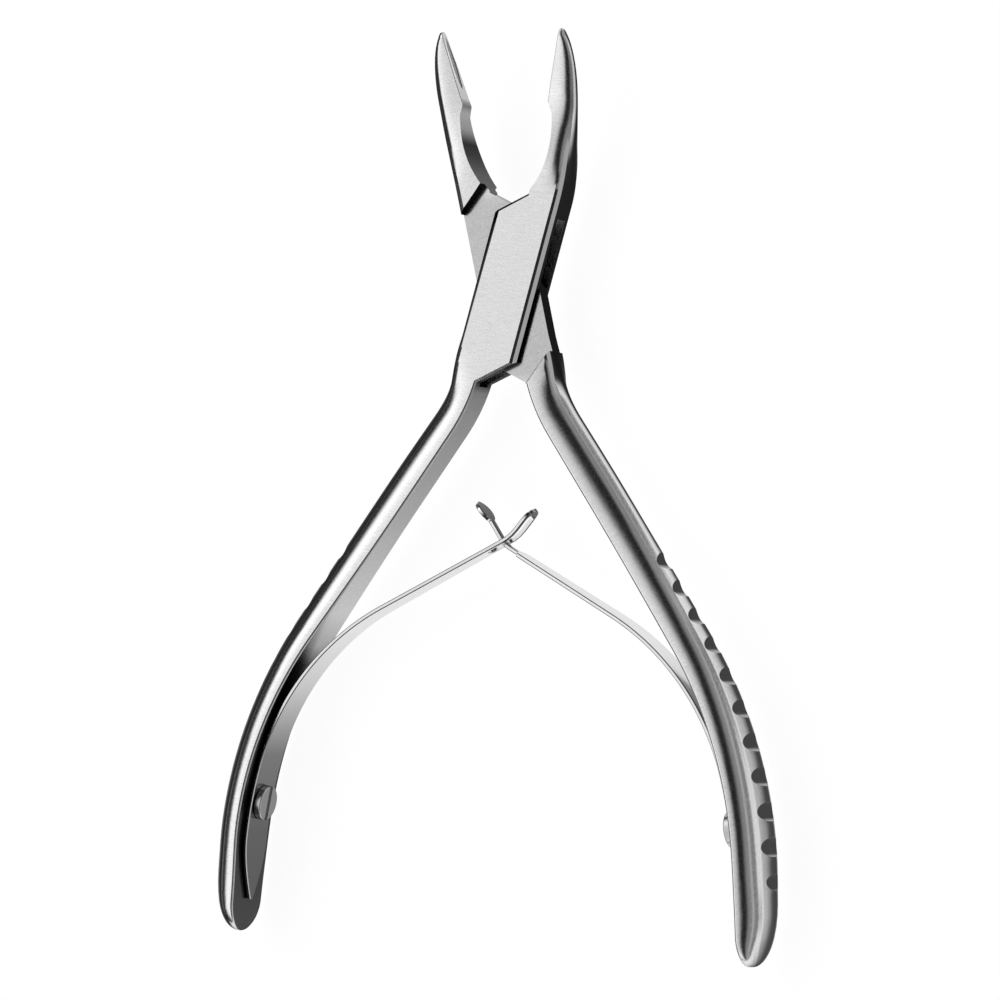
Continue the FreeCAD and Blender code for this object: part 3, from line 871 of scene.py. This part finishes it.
# %% [markdown]
# ## Right leaf with its paddle
# Just before the crossing the blade steps down to a narrow neck, thin enough to slide in the loop.
# The oval paddle at its end is wider than the slot, so the two leaves can't come apart.

# %% Right leaf
PADDLE_HALF_LENGTH = PADDLE_LENGTH / 2
PADDLE_HALF = 1.8
NECK_HALF = 0.6
NECK_START = CROSSING - 2.6
paddle_middle = paddle_end - PADDLE_HALF_LENGTH


def paddle_half(distance):
    blade = leaf_half(distance)
    narrow = smooth_step(distance, NECK_START - 0.5, NECK_START + 0.3)
    necked = blade + (NECK_HALF - blade) * narrow
    share = min(abs(distance - paddle_middle) / PADDLE_HALF_LENGTH, 1.0)
    oval = PADDLE_HALF * math.sqrt(1 - share * share)
    if distance > paddle_middle:
        return max(oval, 0.1)
    return max(necked, oval)


places = spread(0, TAIL_LENGTH, 12) + spread(TAIL_LENGTH, NECK_START - 0.6, 60)[1:]
places += spread(NECK_START - 0.6, NECK_START + 0.4, 6)[1:]
places += spread(NECK_START + 0.4, paddle_middle - PADDLE_HALF_LENGTH, 14)[1:]
places += [paddle_middle - PADDLE_HALF_LENGTH * math.cos(math.pi * n / 18) for n in range(1, 18)]
places += [paddle_end - 0.004]
right_leaf = strip("paddle_spring_form", PADDLE_RUNS, places, paddle_half, LEAF_THICKNESS,
                   tongue_arm_right)
finish_mesh(right_leaf, SMALL_ANGLE)

# %% [markdown]
# ## Spring screws
# One slotted cheese head screw clamps each leaf: a turned disc with a softened rim and a sawn slot.
# One function models each of them where it stands, square on the inner face of its handle.

# %% Screws
SCREW_AT = 81.0
HEAD_RADIUS = 2.7
HEAD_HEIGHT = 1.0
RIM_ROUND = 0.2
SLOT_WIDTH = 0.9
SLOT_DEPTH = 0.5
SHANK_RADIUS = 1.25
SHANK_LENGTH = 2.7
SHANK_OVERLAP = 0.2


def spring_screw(name, place):
    point, heading = handle_at(SCREW_AT)
    side = across(heading)
    foot = place(*(point + side * SHANK_LENGTH), 0)
    crown = place(*(point + side * (-2 * SEAT_GAP - LEAF_THICKNESS - HEAD_HEIGHT)), 0)
    axis = (crown - foot).normalized()
    turn = axis.to_track_quat("Z", "Y").to_euler()
    head = cylinder(name, 64, HEAD_RADIUS, HEAD_HEIGHT, crown - axis * HEAD_HEIGHT / 2, turn)

    def on_rim(middle, run):
        return abs((middle - crown).dot(axis)) < NEAR and abs(run.dot(axis)) < NEAR

    bevel_edges(head, on_rim, RIM_ROUND, 4)
    deselect()
    bpy.ops.mesh.primitive_cube_add(size=1, location=crown, rotation=turn)
    saw_cut = bpy.context.object
    saw_cut.scale = (4 * HEAD_RADIUS, SLOT_WIDTH, 2 * SLOT_DEPTH)
    apply_place(saw_cut)
    combine(head, saw_cut, "DIFFERENCE")
    length = (crown - foot).length - HEAD_HEIGHT + SHANK_OVERLAP
    shank = cylinder("shank", 32, SHANK_RADIUS, length, foot + axis * length / 2, turn)
    combine(head, shank, "UNION")
    finish_mesh(head, SMALL_ANGLE)
    return head


left_screw = spring_screw("left_screw_form", box_arm_left)
right_screw = spring_screw("right_screw_form", tongue_arm_right)

# %% [markdown]
# ## Joint pin
# The rivet is ground flush and can't be seen. It still has to be there for anyone who takes the
# model apart, so a short bore is left inside the lock, and the pin sits in it.

# %% Pin in its hidden bore
PIN_RADIUS = 2.25
PIN_EDGE = 0.1
SKIN = 0.2
LOCK_TOP = 2 * HALF_LOCK


def upright_cylinder(name, radius, low, high):
    return cylinder(name, 64, radius, high - low, (0, 0, (low + high) / 2))


combine(box, upright_cylinder("bore", PIN_RADIUS + 0.03, SKIN, LOCK_TOP - SKIN), "DIFFERENCE")
combine(tongue, upright_cylinder("bore", PIN_RADIUS + 0.05, -1, LOCK_TOP + 1), "DIFFERENCE")
pin = upright_cylinder("joint_pin_form", PIN_RADIUS, SKIN + 0.02, LOCK_TOP - SKIN - 0.02)
bevel_edges(pin, lambda middle, run: True, PIN_EDGE, 2)
finish_mesh(pin, ARM_ANGLE)
print("pin height", round(pin.dimensions.z, 2))

# %% [markdown]
# ## Brushed steel
# The steel is satin: a fine grain, and long brush marks that catch the light as faint streaks. The
# marks are the same effect on every piece, so they are one node group that gives a colour factor,
# a roughness and a height. Each material sets its own direction and strength.

# %% Small helpers for nodes
FLOAT = "NodeSocketFloat"


def new_group(name, inputs, outputs):
    """Shader node group with named inputs of (label, kind, value) and float outputs."""
    group = bpy.data.node_groups.new(name, "ShaderNodeTree")
    for label, kind, value in inputs:
        item = group.interface.new_socket(name=label, in_out="INPUT", socket_type=kind)
        item.default_value = value
    for label in outputs:
        group.interface.new_socket(name=label, in_out="OUTPUT", socket_type=FLOAT)
    return group, group.nodes.new("NodeGroupInput"), group.nodes.new("NodeGroupOutput")


def add(tree, kind, **settings):
    node = tree.nodes.new(kind)
    for key, value in settings.items():
        setattr(node, key, value)
    return node


def feed(tree, sockets, values):
    """Set each socket to a number, or link it to another node's output."""
    for socket, value in zip(sockets, values):
        if isinstance(value, (int, float)):
            socket.default_value = value
        else:
            tree.links.new(value, socket)


def math_node(tree, operation, *values, clamp=False):
    node = add(tree, "ShaderNodeMath", operation=operation, use_clamp=clamp)
    feed(tree, node.inputs, values)
    return node.outputs[0]


# %% Brushed steel node group
LINE_STRETCH = (420, 8000, 8000)
GRAIN_SIZE = 4200.0
ROUGHNESS_SHARE = 0.35
satin, into, out = new_group(
    "satin_marks",
    [("Vector", "NodeSocketVector", (0, 0, 0)), ("Line Strength", FLOAT, 1.0),
     ("Grain Strength", FLOAT, 1.0)],
    ["Tone", "Roughness", "Height"],
)


def noise(detail, vector, scale, strength):
    """Noise round zero, times a strength output."""
    node = add(satin, "ShaderNodeTexNoise")
    node.inputs["Detail"].default_value = detail
    feed(satin, (node.inputs["Vector"], node.inputs["Scale"]), (vector, scale))
    centred = math_node(satin, "SUBTRACT", node.outputs["Fac"], 0.5)
    return math_node(satin, "MULTIPLY", centred, strength)


line_map = add(satin, "ShaderNodeMapping")
line_map.inputs["Scale"].default_value = LINE_STRETCH
satin.links.new(into.outputs["Vector"], line_map.inputs["Vector"])
line_part = noise(3.0, line_map.outputs[0], 1.0, into.outputs["Line Strength"])
grain_part = noise(2.0, into.outputs["Vector"], GRAIN_SIZE, into.outputs["Grain Strength"])
marks = math_node(satin, "ADD", line_part, grain_part)
satin.links.new(math_node(satin, "ADD", marks, 1.0), out.inputs["Tone"])
satin.links.new(math_node(satin, "MULTIPLY", marks, ROUGHNESS_SHARE), out.inputs["Roughness"])
satin.links.new(marks, out.inputs["Height"])
print(satin.name, "has", len(satin.nodes), "nodes")

# %% [markdown]
# ## Painted shade on the flanks
# In the photograph the upright flanks mirror the dark sides of the studio. Here that darkness is
# painted shade in the colour of the steel: a second node group finds the flanks from the surface
# direction, and darkens those that face right, left or the jaw tips. Bevels, which lean by 45
# degrees, get painted shade of their own, and on the leaves painted highlight as well.

# %% Painted flank shade node group
SIDEWAYS = (0.05, 0.3)
TIPWARDS = (0.6, 0.95)
RIGHT_FLANK = (0.2, 0.62)
LEFT_FLANK = (0.8, 0.975)
BEVEL_LEAN = 0.707
BEVEL_RANGE = (0.03, 0.08)


def smooth_range(tree, value, low, high):
    node = add(tree, "ShaderNodeMapRange", interpolation_type="SMOOTHSTEP")
    feed(tree, (node.inputs["Value"], node.inputs["From Min"], node.inputs["From Max"]),
         (value, low, high))
    return node.outputs[0]


def outside(tree, value, limits):
    """1 below the limits, 0 above them."""
    return math_node(tree, "SUBTRACT", 1.0, smooth_range(tree, value, *limits))


def mix_values(tree, share, first, second):
    node = add(tree, "ShaderNodeMix", data_type="FLOAT")
    feed(tree, (node.inputs["Factor"], node.inputs["A"], node.inputs["B"]),
         (share, first, second))
    return node.outputs["Result"]


# Painted shade on right, left and tipward flanks and on bevels; bevel levels above 1 are painted
# highlight.
flank, into, out = new_group(
    "painted_flank_shade",
    [("Normal", "NodeSocketVector", (0, 0, 1)), ("Right Painted Shade", FLOAT, 1.0),
     ("Left Painted Shade", FLOAT, 1.0), ("Bevel Painted Light", FLOAT, 1.0), ("Tipward Painted Shade", FLOAT, 1.0)],
    ["Tone"],
)
facing = add(flank, "ShaderNodeSeparateXYZ")
flank.links.new(into.outputs["Normal"], facing.inputs[0])
lean = math_node(flank, "ABSOLUTE", facing.outputs["Z"])
leftwards = math_node(flank, "MULTIPLY", facing.outputs["X"], -1.0)
tipwards = smooth_range(flank, facing.outputs["Y"], *TIPWARDS)
right_share = math_node(flank, "MULTIPLY", smooth_range(flank, facing.outputs["X"], *SIDEWAYS),
                        outside(flank, lean, RIGHT_FLANK))
left_share = math_node(flank, "MULTIPLY", smooth_range(flank, leftwards, *SIDEWAYS),
                       outside(flank, lean, LEFT_FLANK))
off_bevel = math_node(flank, "ABSOLUTE", math_node(flank, "SUBTRACT", lean, BEVEL_LEAN))
bevel_share = outside(flank, off_bevel, BEVEL_RANGE)
right_or_tipward_painted_shade = mix_values(flank, tipwards, into.outputs["Right Painted Shade"], into.outputs["Tipward Painted Shade"])
right_painted_shade = mix_values(flank, right_share, 1.0, right_or_tipward_painted_shade)
left_painted_shade = mix_values(flank, left_share, 1.0, into.outputs["Left Painted Shade"])
bevel_painted_light = mix_values(flank, bevel_share, 1.0, into.outputs["Bevel Painted Light"])
# The painted shade of all flanks and bevels is multiplied into one factor.
sides = math_node(flank, "MULTIPLY", right_painted_shade, left_painted_shade)
flank.links.new(math_node(flank, "MULTIPLY", sides, bevel_painted_light), out.inputs["Tone"])
print(flank.name, "has", len(flank.nodes), "nodes")

# %% [markdown]
# ## Materials
# What a flank mirrors changes along the instrument, so a colour ramp gives its painted shade from
# place to place. The brush marks and the painted flank shade multiply the grey of the metal, and
# the marks feed a fine bump too.

# %% Painted shade along the instrument
RAMP_START = -0.102
RAMP_END = 0.042


def fill_ramp(ramp, stops):
    """Replace a ramp's stops by (position, grey level) pairs."""
    while len(ramp.elements) > 1:
        ramp.elements.remove(ramp.elements[0])
    ramp.elements[0].position = stops[0][0]
    ramp.elements[0].color = (stops[0][1],) * 3 + (1,)
    for position, level in stops[1:]:
        ramp.elements.new(position).color = (level, level, level, 1)


def painted_light_along(tree, coordinates, stops):
    """Painted shade and highlight along the instrument, from (place in mm, level) pairs."""
    parts = add(tree, "ShaderNodeSeparateXYZ")
    tree.links.new(coordinates, parts.inputs[0])
    share = add(tree, "ShaderNodeMapRange")
    feed(tree, (share.inputs["Value"], share.inputs["From Min"], share.inputs["From Max"]),
         (parts.outputs["Y"], RAMP_START, RAMP_END))
    ramp = add(tree, "ShaderNodeValToRGB")
    tree.links.new(share.outputs[0], ramp.inputs["Fac"])
    length = RAMP_END - RAMP_START
    fill_ramp(ramp.color_ramp, [((y * METRES - RAMP_START) / length, tone) for y, tone in stops])
    return ramp.outputs["Color"]


# %% Steel material
MILLED_BELOW = (4.6, 4.9)
BUMP_STRENGTH = 0.3
BUMP_DISTANCE = 0.01


def painted_tongue_shade(tree, coordinates, level):
    """Painted shade on the tongue, which lies below the polished front flats."""
    heights = add(tree, "ShaderNodeSeparateXYZ")
    tree.links.new(coordinates, heights.inputs[0])
    above = smooth_range(tree, heights.outputs["Z"], *(z * METRES for z in MILLED_BELOW))
    milled = painted_light_along(tree, coordinates, [(-98, 1), (-15, 1), (-13, level), (13, level),
                                            (15, 1), (40, 1)])
    return mix_values(tree, above, milled, 1.0)


def steel(name, grey, roughness, lines, grains, turn_degrees, right_stops, left_stops,
          bevel_stops=None, upward=None, tongue_shade_level=None, edge_tint=0.45):
    """Satin steel with its marks, and painted shade and highlight on flanks along the instrument.
    """
    material = bpy.data.materials.new(name)
    material.use_nodes = True
    tree = material.node_tree
    shader = tree.nodes["Principled BSDF"]
    shader.inputs["Metallic"].default_value = 1.0
    shader.inputs["Specular Tint"].default_value = (edge_tint, edge_tint, edge_tint, 1.0)
    place = add(tree, "ShaderNodeTexCoord")
    spot = place.outputs["Object"]
    turn = add(tree, "ShaderNodeMapping")
    turn.inputs["Rotation"].default_value = (0, 0, math.radians(turn_degrees))
    tree.links.new(spot, turn.inputs["Vector"])
    marks = add(tree, "ShaderNodeGroup", node_tree=satin)
    feed(tree, (marks.inputs["Vector"], marks.inputs["Line Strength"],
                marks.inputs["Grain Strength"]), (turn.outputs[0], lines, grains))
    shade = add(tree, "ShaderNodeGroup", node_tree=flank)
    right_painted_shade_ramp = painted_light_along(tree, spot, right_stops)
    feed(tree, (shade.inputs["Normal"], shade.inputs["Right Painted Shade"], shade.inputs["Left Painted Shade"],
                shade.inputs["Tipward Painted Shade"]),
         (place.outputs["Normal"], right_painted_shade_ramp, painted_light_along(tree, spot, left_stops),
          right_painted_shade_ramp if upward is None else upward))
    if bevel_stops:
        tree.links.new(painted_light_along(tree, spot, bevel_stops), shade.inputs["Bevel Painted Light"])
    # The brush marks times the painted flank shade and highlight give the colour factor.
    tone = math_node(tree, "MULTIPLY", marks.outputs["Tone"], shade.outputs["Tone"])
    # Painted shade on the milled tongue, darker than the polished flats above it.
    if tongue_shade_level is not None:
        tone = math_node(tree, "MULTIPLY", tone, painted_tongue_shade(tree, spot, tongue_shade_level))
    tint = add(tree, "ShaderNodeMix", data_type="RGBA", blend_type="MULTIPLY")
    tint.inputs["Factor"].default_value = 1.0
    tint.inputs["A"].default_value = (grey, grey, grey, 1.0)
    tree.links.new(tone, tint.inputs["B"])
    tree.links.new(tint.outputs["Result"], shader.inputs["Base Color"])
    rough = math_node(tree, "ADD", marks.outputs["Roughness"], roughness, clamp=True)
    tree.links.new(rough, shader.inputs["Roughness"])
    relief = add(tree, "ShaderNodeBump")
    relief.inputs["Strength"].default_value = BUMP_STRENGTH
    relief.inputs["Distance"].default_value = BUMP_DISTANCE * METRES
    tree.links.new(marks.outputs["Height"], relief.inputs["Height"])
    tree.links.new(relief.outputs["Normal"], shader.inputs["Normal"])
    print(name, "has", len(tree.nodes), "nodes")
    return material


# %% Steel of each piece
# Painted shade on the flanks, given as (place in mm, level) stops along the instrument.
BOX_RIGHT = [(-98, 0.1), (-85, 0.07), (-72, 0.06), (-58, 0.1), (-55, 0.6), (-50, 0.9), (-35, 0.6),
             (-20, 0.4), (-16, 0.3), (-14.5, 0.03), (40, 0.03)]
BOX_LEFT = [(-98, 0.04), (13, 0.04), (16, 0.3), (40, 0.4)]
TONGUE_RIGHT = [(-98, 0.1), (-40, 0.08), (-20, 0.03), (11, 0.03), (13, 0.24), (17, 0.18),
                (20, 0.08), (22, 0.05), (24, 0.4), (26.5, 0.5), (27.5, 0.2), (28.5, 0.8),
                (40, 0.85)]
TONGUE_LEFT = [(-98, 0.5), (-12, 0.5), (-8, 0.06), (40, 0.05)]
LEAF_RIGHT = [(-96, 0.1), (-84, 0.12), (-72, 0.2), (-68, 0.38), (-61, 0.72), (-52, 1.0),
              (-40, 1.0), (-38, 0.03), (-30, 0.02)]
LEAF_LEFT = [(-96, 0.6), (-30, 0.8)]
# Painted highlight on the leaf bevels near the tails, at levels above 1; painted shade towards the
# crossing.
LEAF_BEVEL = [(-96, 1.2), (-76, 1.2), (-66, 0.15), (-30, 0.06)]
# Screws and pin get one even level of painted shade on their flanks.
PLAIN = [(-98, 0.45), (40, 0.45)]
box_steel = steel("box_satin_steel", 0.80, 0.19, 0.4, 0.4, 8, BOX_RIGHT, BOX_LEFT)
# The tongue arm gets painted shade on its milled tongue, at 0.7 of the full level.
tongue_steel = steel("tongue_satin_steel", 0.82, 0.19, 0.4, 0.45, -24, TONGUE_RIGHT, TONGUE_LEFT,
                     upward=0.9, tongue_shade_level=0.7)
leaf_steel = steel("leaf_spring_steel", 0.85, 0.16, 0.15, 0.1, 60, LEAF_RIGHT, LEAF_LEFT,
                   LEAF_BEVEL, edge_tint=0.85)
screw_steel = steel("turned_screw_steel", 0.62, 0.20, 0.15, 0.1, 0, PLAIN, PLAIN)
pin_steel = steel("pin_steel", 0.7, 0.25, 0.15, 0.1, 0, PLAIN, PLAIN)

# %% [markdown]
# ## Down to metres
# Every piece now gets its steel and shrinks from the millimetres of the drawing to metres, the unit
# of the frame. The scale is applied to the mesh, so that each object stays unscaled at the origin.

# %% Dress the pieces and scale them down
DRESSED = (
    (box, "box_arm", "satin_steel", box_steel),
    (tongue, "tongue_arm", "satin_steel", tongue_steel),
    (pin, "joint_pin", "pin_steel", pin_steel),
    (left_leaf, "slotted_spring", "spring_steel", leaf_steel),
    (right_leaf, "paddle_spring", "spring_steel", leaf_steel),
    (left_screw, "left_spring_screw", "screw_steel", screw_steel),
    (right_screw, "right_spring_screw", "screw_steel", screw_steel),
)
for piece, node, slot, material in DRESSED:
    piece.data.materials.clear()
    piece.data.materials.append(material)
    piece.scale = (METRES, METRES, METRES)
    apply_place(piece)
    print(piece.name, "size in mm", [round(v / METRES, 1) for v in piece.dimensions])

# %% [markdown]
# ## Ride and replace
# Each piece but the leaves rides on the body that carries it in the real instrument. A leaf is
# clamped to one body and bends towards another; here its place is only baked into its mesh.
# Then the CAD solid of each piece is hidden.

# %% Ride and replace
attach(box, "box_side")
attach(tongue, "tongue_side")
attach(pin, "box_side")
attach(left_screw, "box_side")
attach(right_screw, "tongue_side")
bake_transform(left_leaf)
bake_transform(right_leaf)
for piece, node, slot, material in DRESSED:
    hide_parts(node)
    print(piece.name, len(piece.data.polygons), "faces")

# %% [markdown]
# ## Floor
# The instrument lies on a white floor. White paint alone would look grey under soft light, so most
# of its brightness is its own glow, and the rest is matte paint that keeps a faint shadow.

# %% Floor
FLOOR_SIZE = 6.0
FLOOR_PLACE = (0, -0.03, -0.0026)
deselect()
bpy.ops.mesh.primitive_plane_add(size=FLOOR_SIZE, location=FLOOR_PLACE)
floor = bpy.context.object
floor.name = "pale_floor"
floor_paint = bpy.data.materials.new("pale_floor")
floor_paint.use_nodes = True
tree = floor_paint.node_tree
tree.nodes.remove(tree.nodes["Principled BSDF"])
matte = add(tree, "ShaderNodeBsdfDiffuse")
matte.inputs["Color"].default_value = (0.95, 0.95, 0.95, 1)
glow = add(tree, "ShaderNodeEmission")
glow.inputs["Color"].default_value = (1, 1, 1, 1)
glow.inputs["Strength"].default_value = 1.16
blend_shaders = add(tree, "ShaderNodeMixShader")
feed(tree, blend_shaders.inputs, (0.8, matte.outputs[0], glow.outputs[0]))
tree.links.new(blend_shaders.outputs[0], tree.nodes["Material Output"].inputs["Surface"])
floor.data.materials.append(floor_paint)
floor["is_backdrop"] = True
print("floor", FLOOR_SIZE, "m wide")

# %% [markdown]
# ## Sky and key light
# What makes satin steel look like steel is the pattern of light and dark around it. The sky is a
# set of long bands, as from soft boxes and black cards: bright on the left, dark overhead and just
# right of it, mid grey on the right. Each stop is an angle from straight above, positive to the
# right, with its brightness. A weak round lamp adds the shadow.

# %% Sky
SKY_STOPS = [(-180, 0.25), (-112, 0.2), (-90, 0.05), (-68, 0.03), (-58, 0.35), (-50, 1.05),
             (-38, 1.2), (-25, 0.88), (-14, 0.66), (-4, 0.16), (4, 0.015), (26, 0.012), (34, 0.1),
             (44, 0.26), (57, 0.24), (65, 0.55), (73, 0.22), (84, 0.2), (100, 0.25), (112, 0.25),
             (180, 0.25)]
world = bpy.context.scene.world or bpy.data.worlds.new("studio")
bpy.context.scene.world = world
world.use_nodes = True
sky = world.node_tree
background = sky.nodes["Background"]
direction = add(sky, "ShaderNodeTexCoord")
parts = add(sky, "ShaderNodeSeparateXYZ")
sky.links.new(direction.outputs["Generated"], parts.inputs[0])
angle = math_node(sky, "ARCTAN2", parts.outputs["X"], parts.outputs["Z"])
turn_share = math_node(sky, "ADD", math_node(sky, "DIVIDE", angle, 2 * math.pi), 0.5)
ramp = add(sky, "ShaderNodeValToRGB")
sky.links.new(turn_share, ramp.inputs["Fac"])
fill_ramp(ramp.color_ramp, [(degrees / 360 + 0.5, level) for degrees, level in SKY_STOPS])
sky.links.new(ramp.outputs["Color"], background.inputs["Color"])
background.inputs["Strength"].default_value = 1.0
print("sky with", len(SKY_STOPS), "stops")

# %% Key light
KEY_PLACE = (-0.5, 0.3, 0.5)
KEY_DIRECTION = (-0.5, 0.33, 0.5)
bpy.ops.object.light_add(type="AREA", location=KEY_PLACE)
key = bpy.context.object
key.data.shape = "DISK"
key.data.size = 0.45
key.data.energy = 0.15
key.rotation_euler = Vector(KEY_DIRECTION).to_track_quat("Z", "Y").to_euler()
print("key light at", KEY_PLACE)

# %% [markdown]
# ## Camera
# The photograph was taken from far off, about 25 degrees to the right of straight above. The
# camera looks along that line, and its lens covers the same stretch at that distance.

# %% Camera
AZIMUTH = math.radians(25.0)
ELEVATION = math.radians(-1.87)
ROLL = math.radians(2.085)
DISTANCE = 614.0
PIXELS_PER_MM = 6.62
PICTURE_PIXELS = 1000
SENSOR_WIDTH = 36.0
TARGET = Vector((-0.77, -32.02, 3.0))
view = Vector((math.sin(AZIMUTH) * math.cos(ELEVATION), math.sin(ELEVATION),
               math.cos(AZIMUTH) * math.cos(ELEVATION)))
level_right = Vector((math.cos(AZIMUTH), 0, -math.sin(AZIMUTH)))
level_up = view.cross(level_right)
right = level_right * math.cos(ROLL) + level_up * math.sin(ROLL)
up = level_up * math.cos(ROLL) - level_right * math.sin(ROLL)
lens = bpy.data.cameras.new("camera")
lens.sensor_width = SENSOR_WIDTH
lens.lens = SENSOR_WIDTH * DISTANCE * PIXELS_PER_MM / PICTURE_PIXELS
lens.clip_start = 0.01
lens.clip_end = 10.0
camera = bpy.data.objects.new("camera", lens)
bpy.context.scene.collection.objects.link(camera)
turn = Matrix((right, up, view)).transposed().to_4x4()
camera.matrix_world = Matrix.Translation((TARGET + view * DISTANCE) * METRES) @ turn
bpy.context.scene.camera = camera
bpy.context.scene.view_settings.view_transform = "Standard"
print("lens", round(lens.lens, 1), "mm")

# %% [markdown]
# ## Sizes and finish
# Last, the box of the dressed model is printed in millimetres. Dressing the steel must not
# change the size of the instrument.

# %% Sizes and finish
low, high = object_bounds()
print("visual box", [round(v / METRES, 2) for v in (*low, *high)])
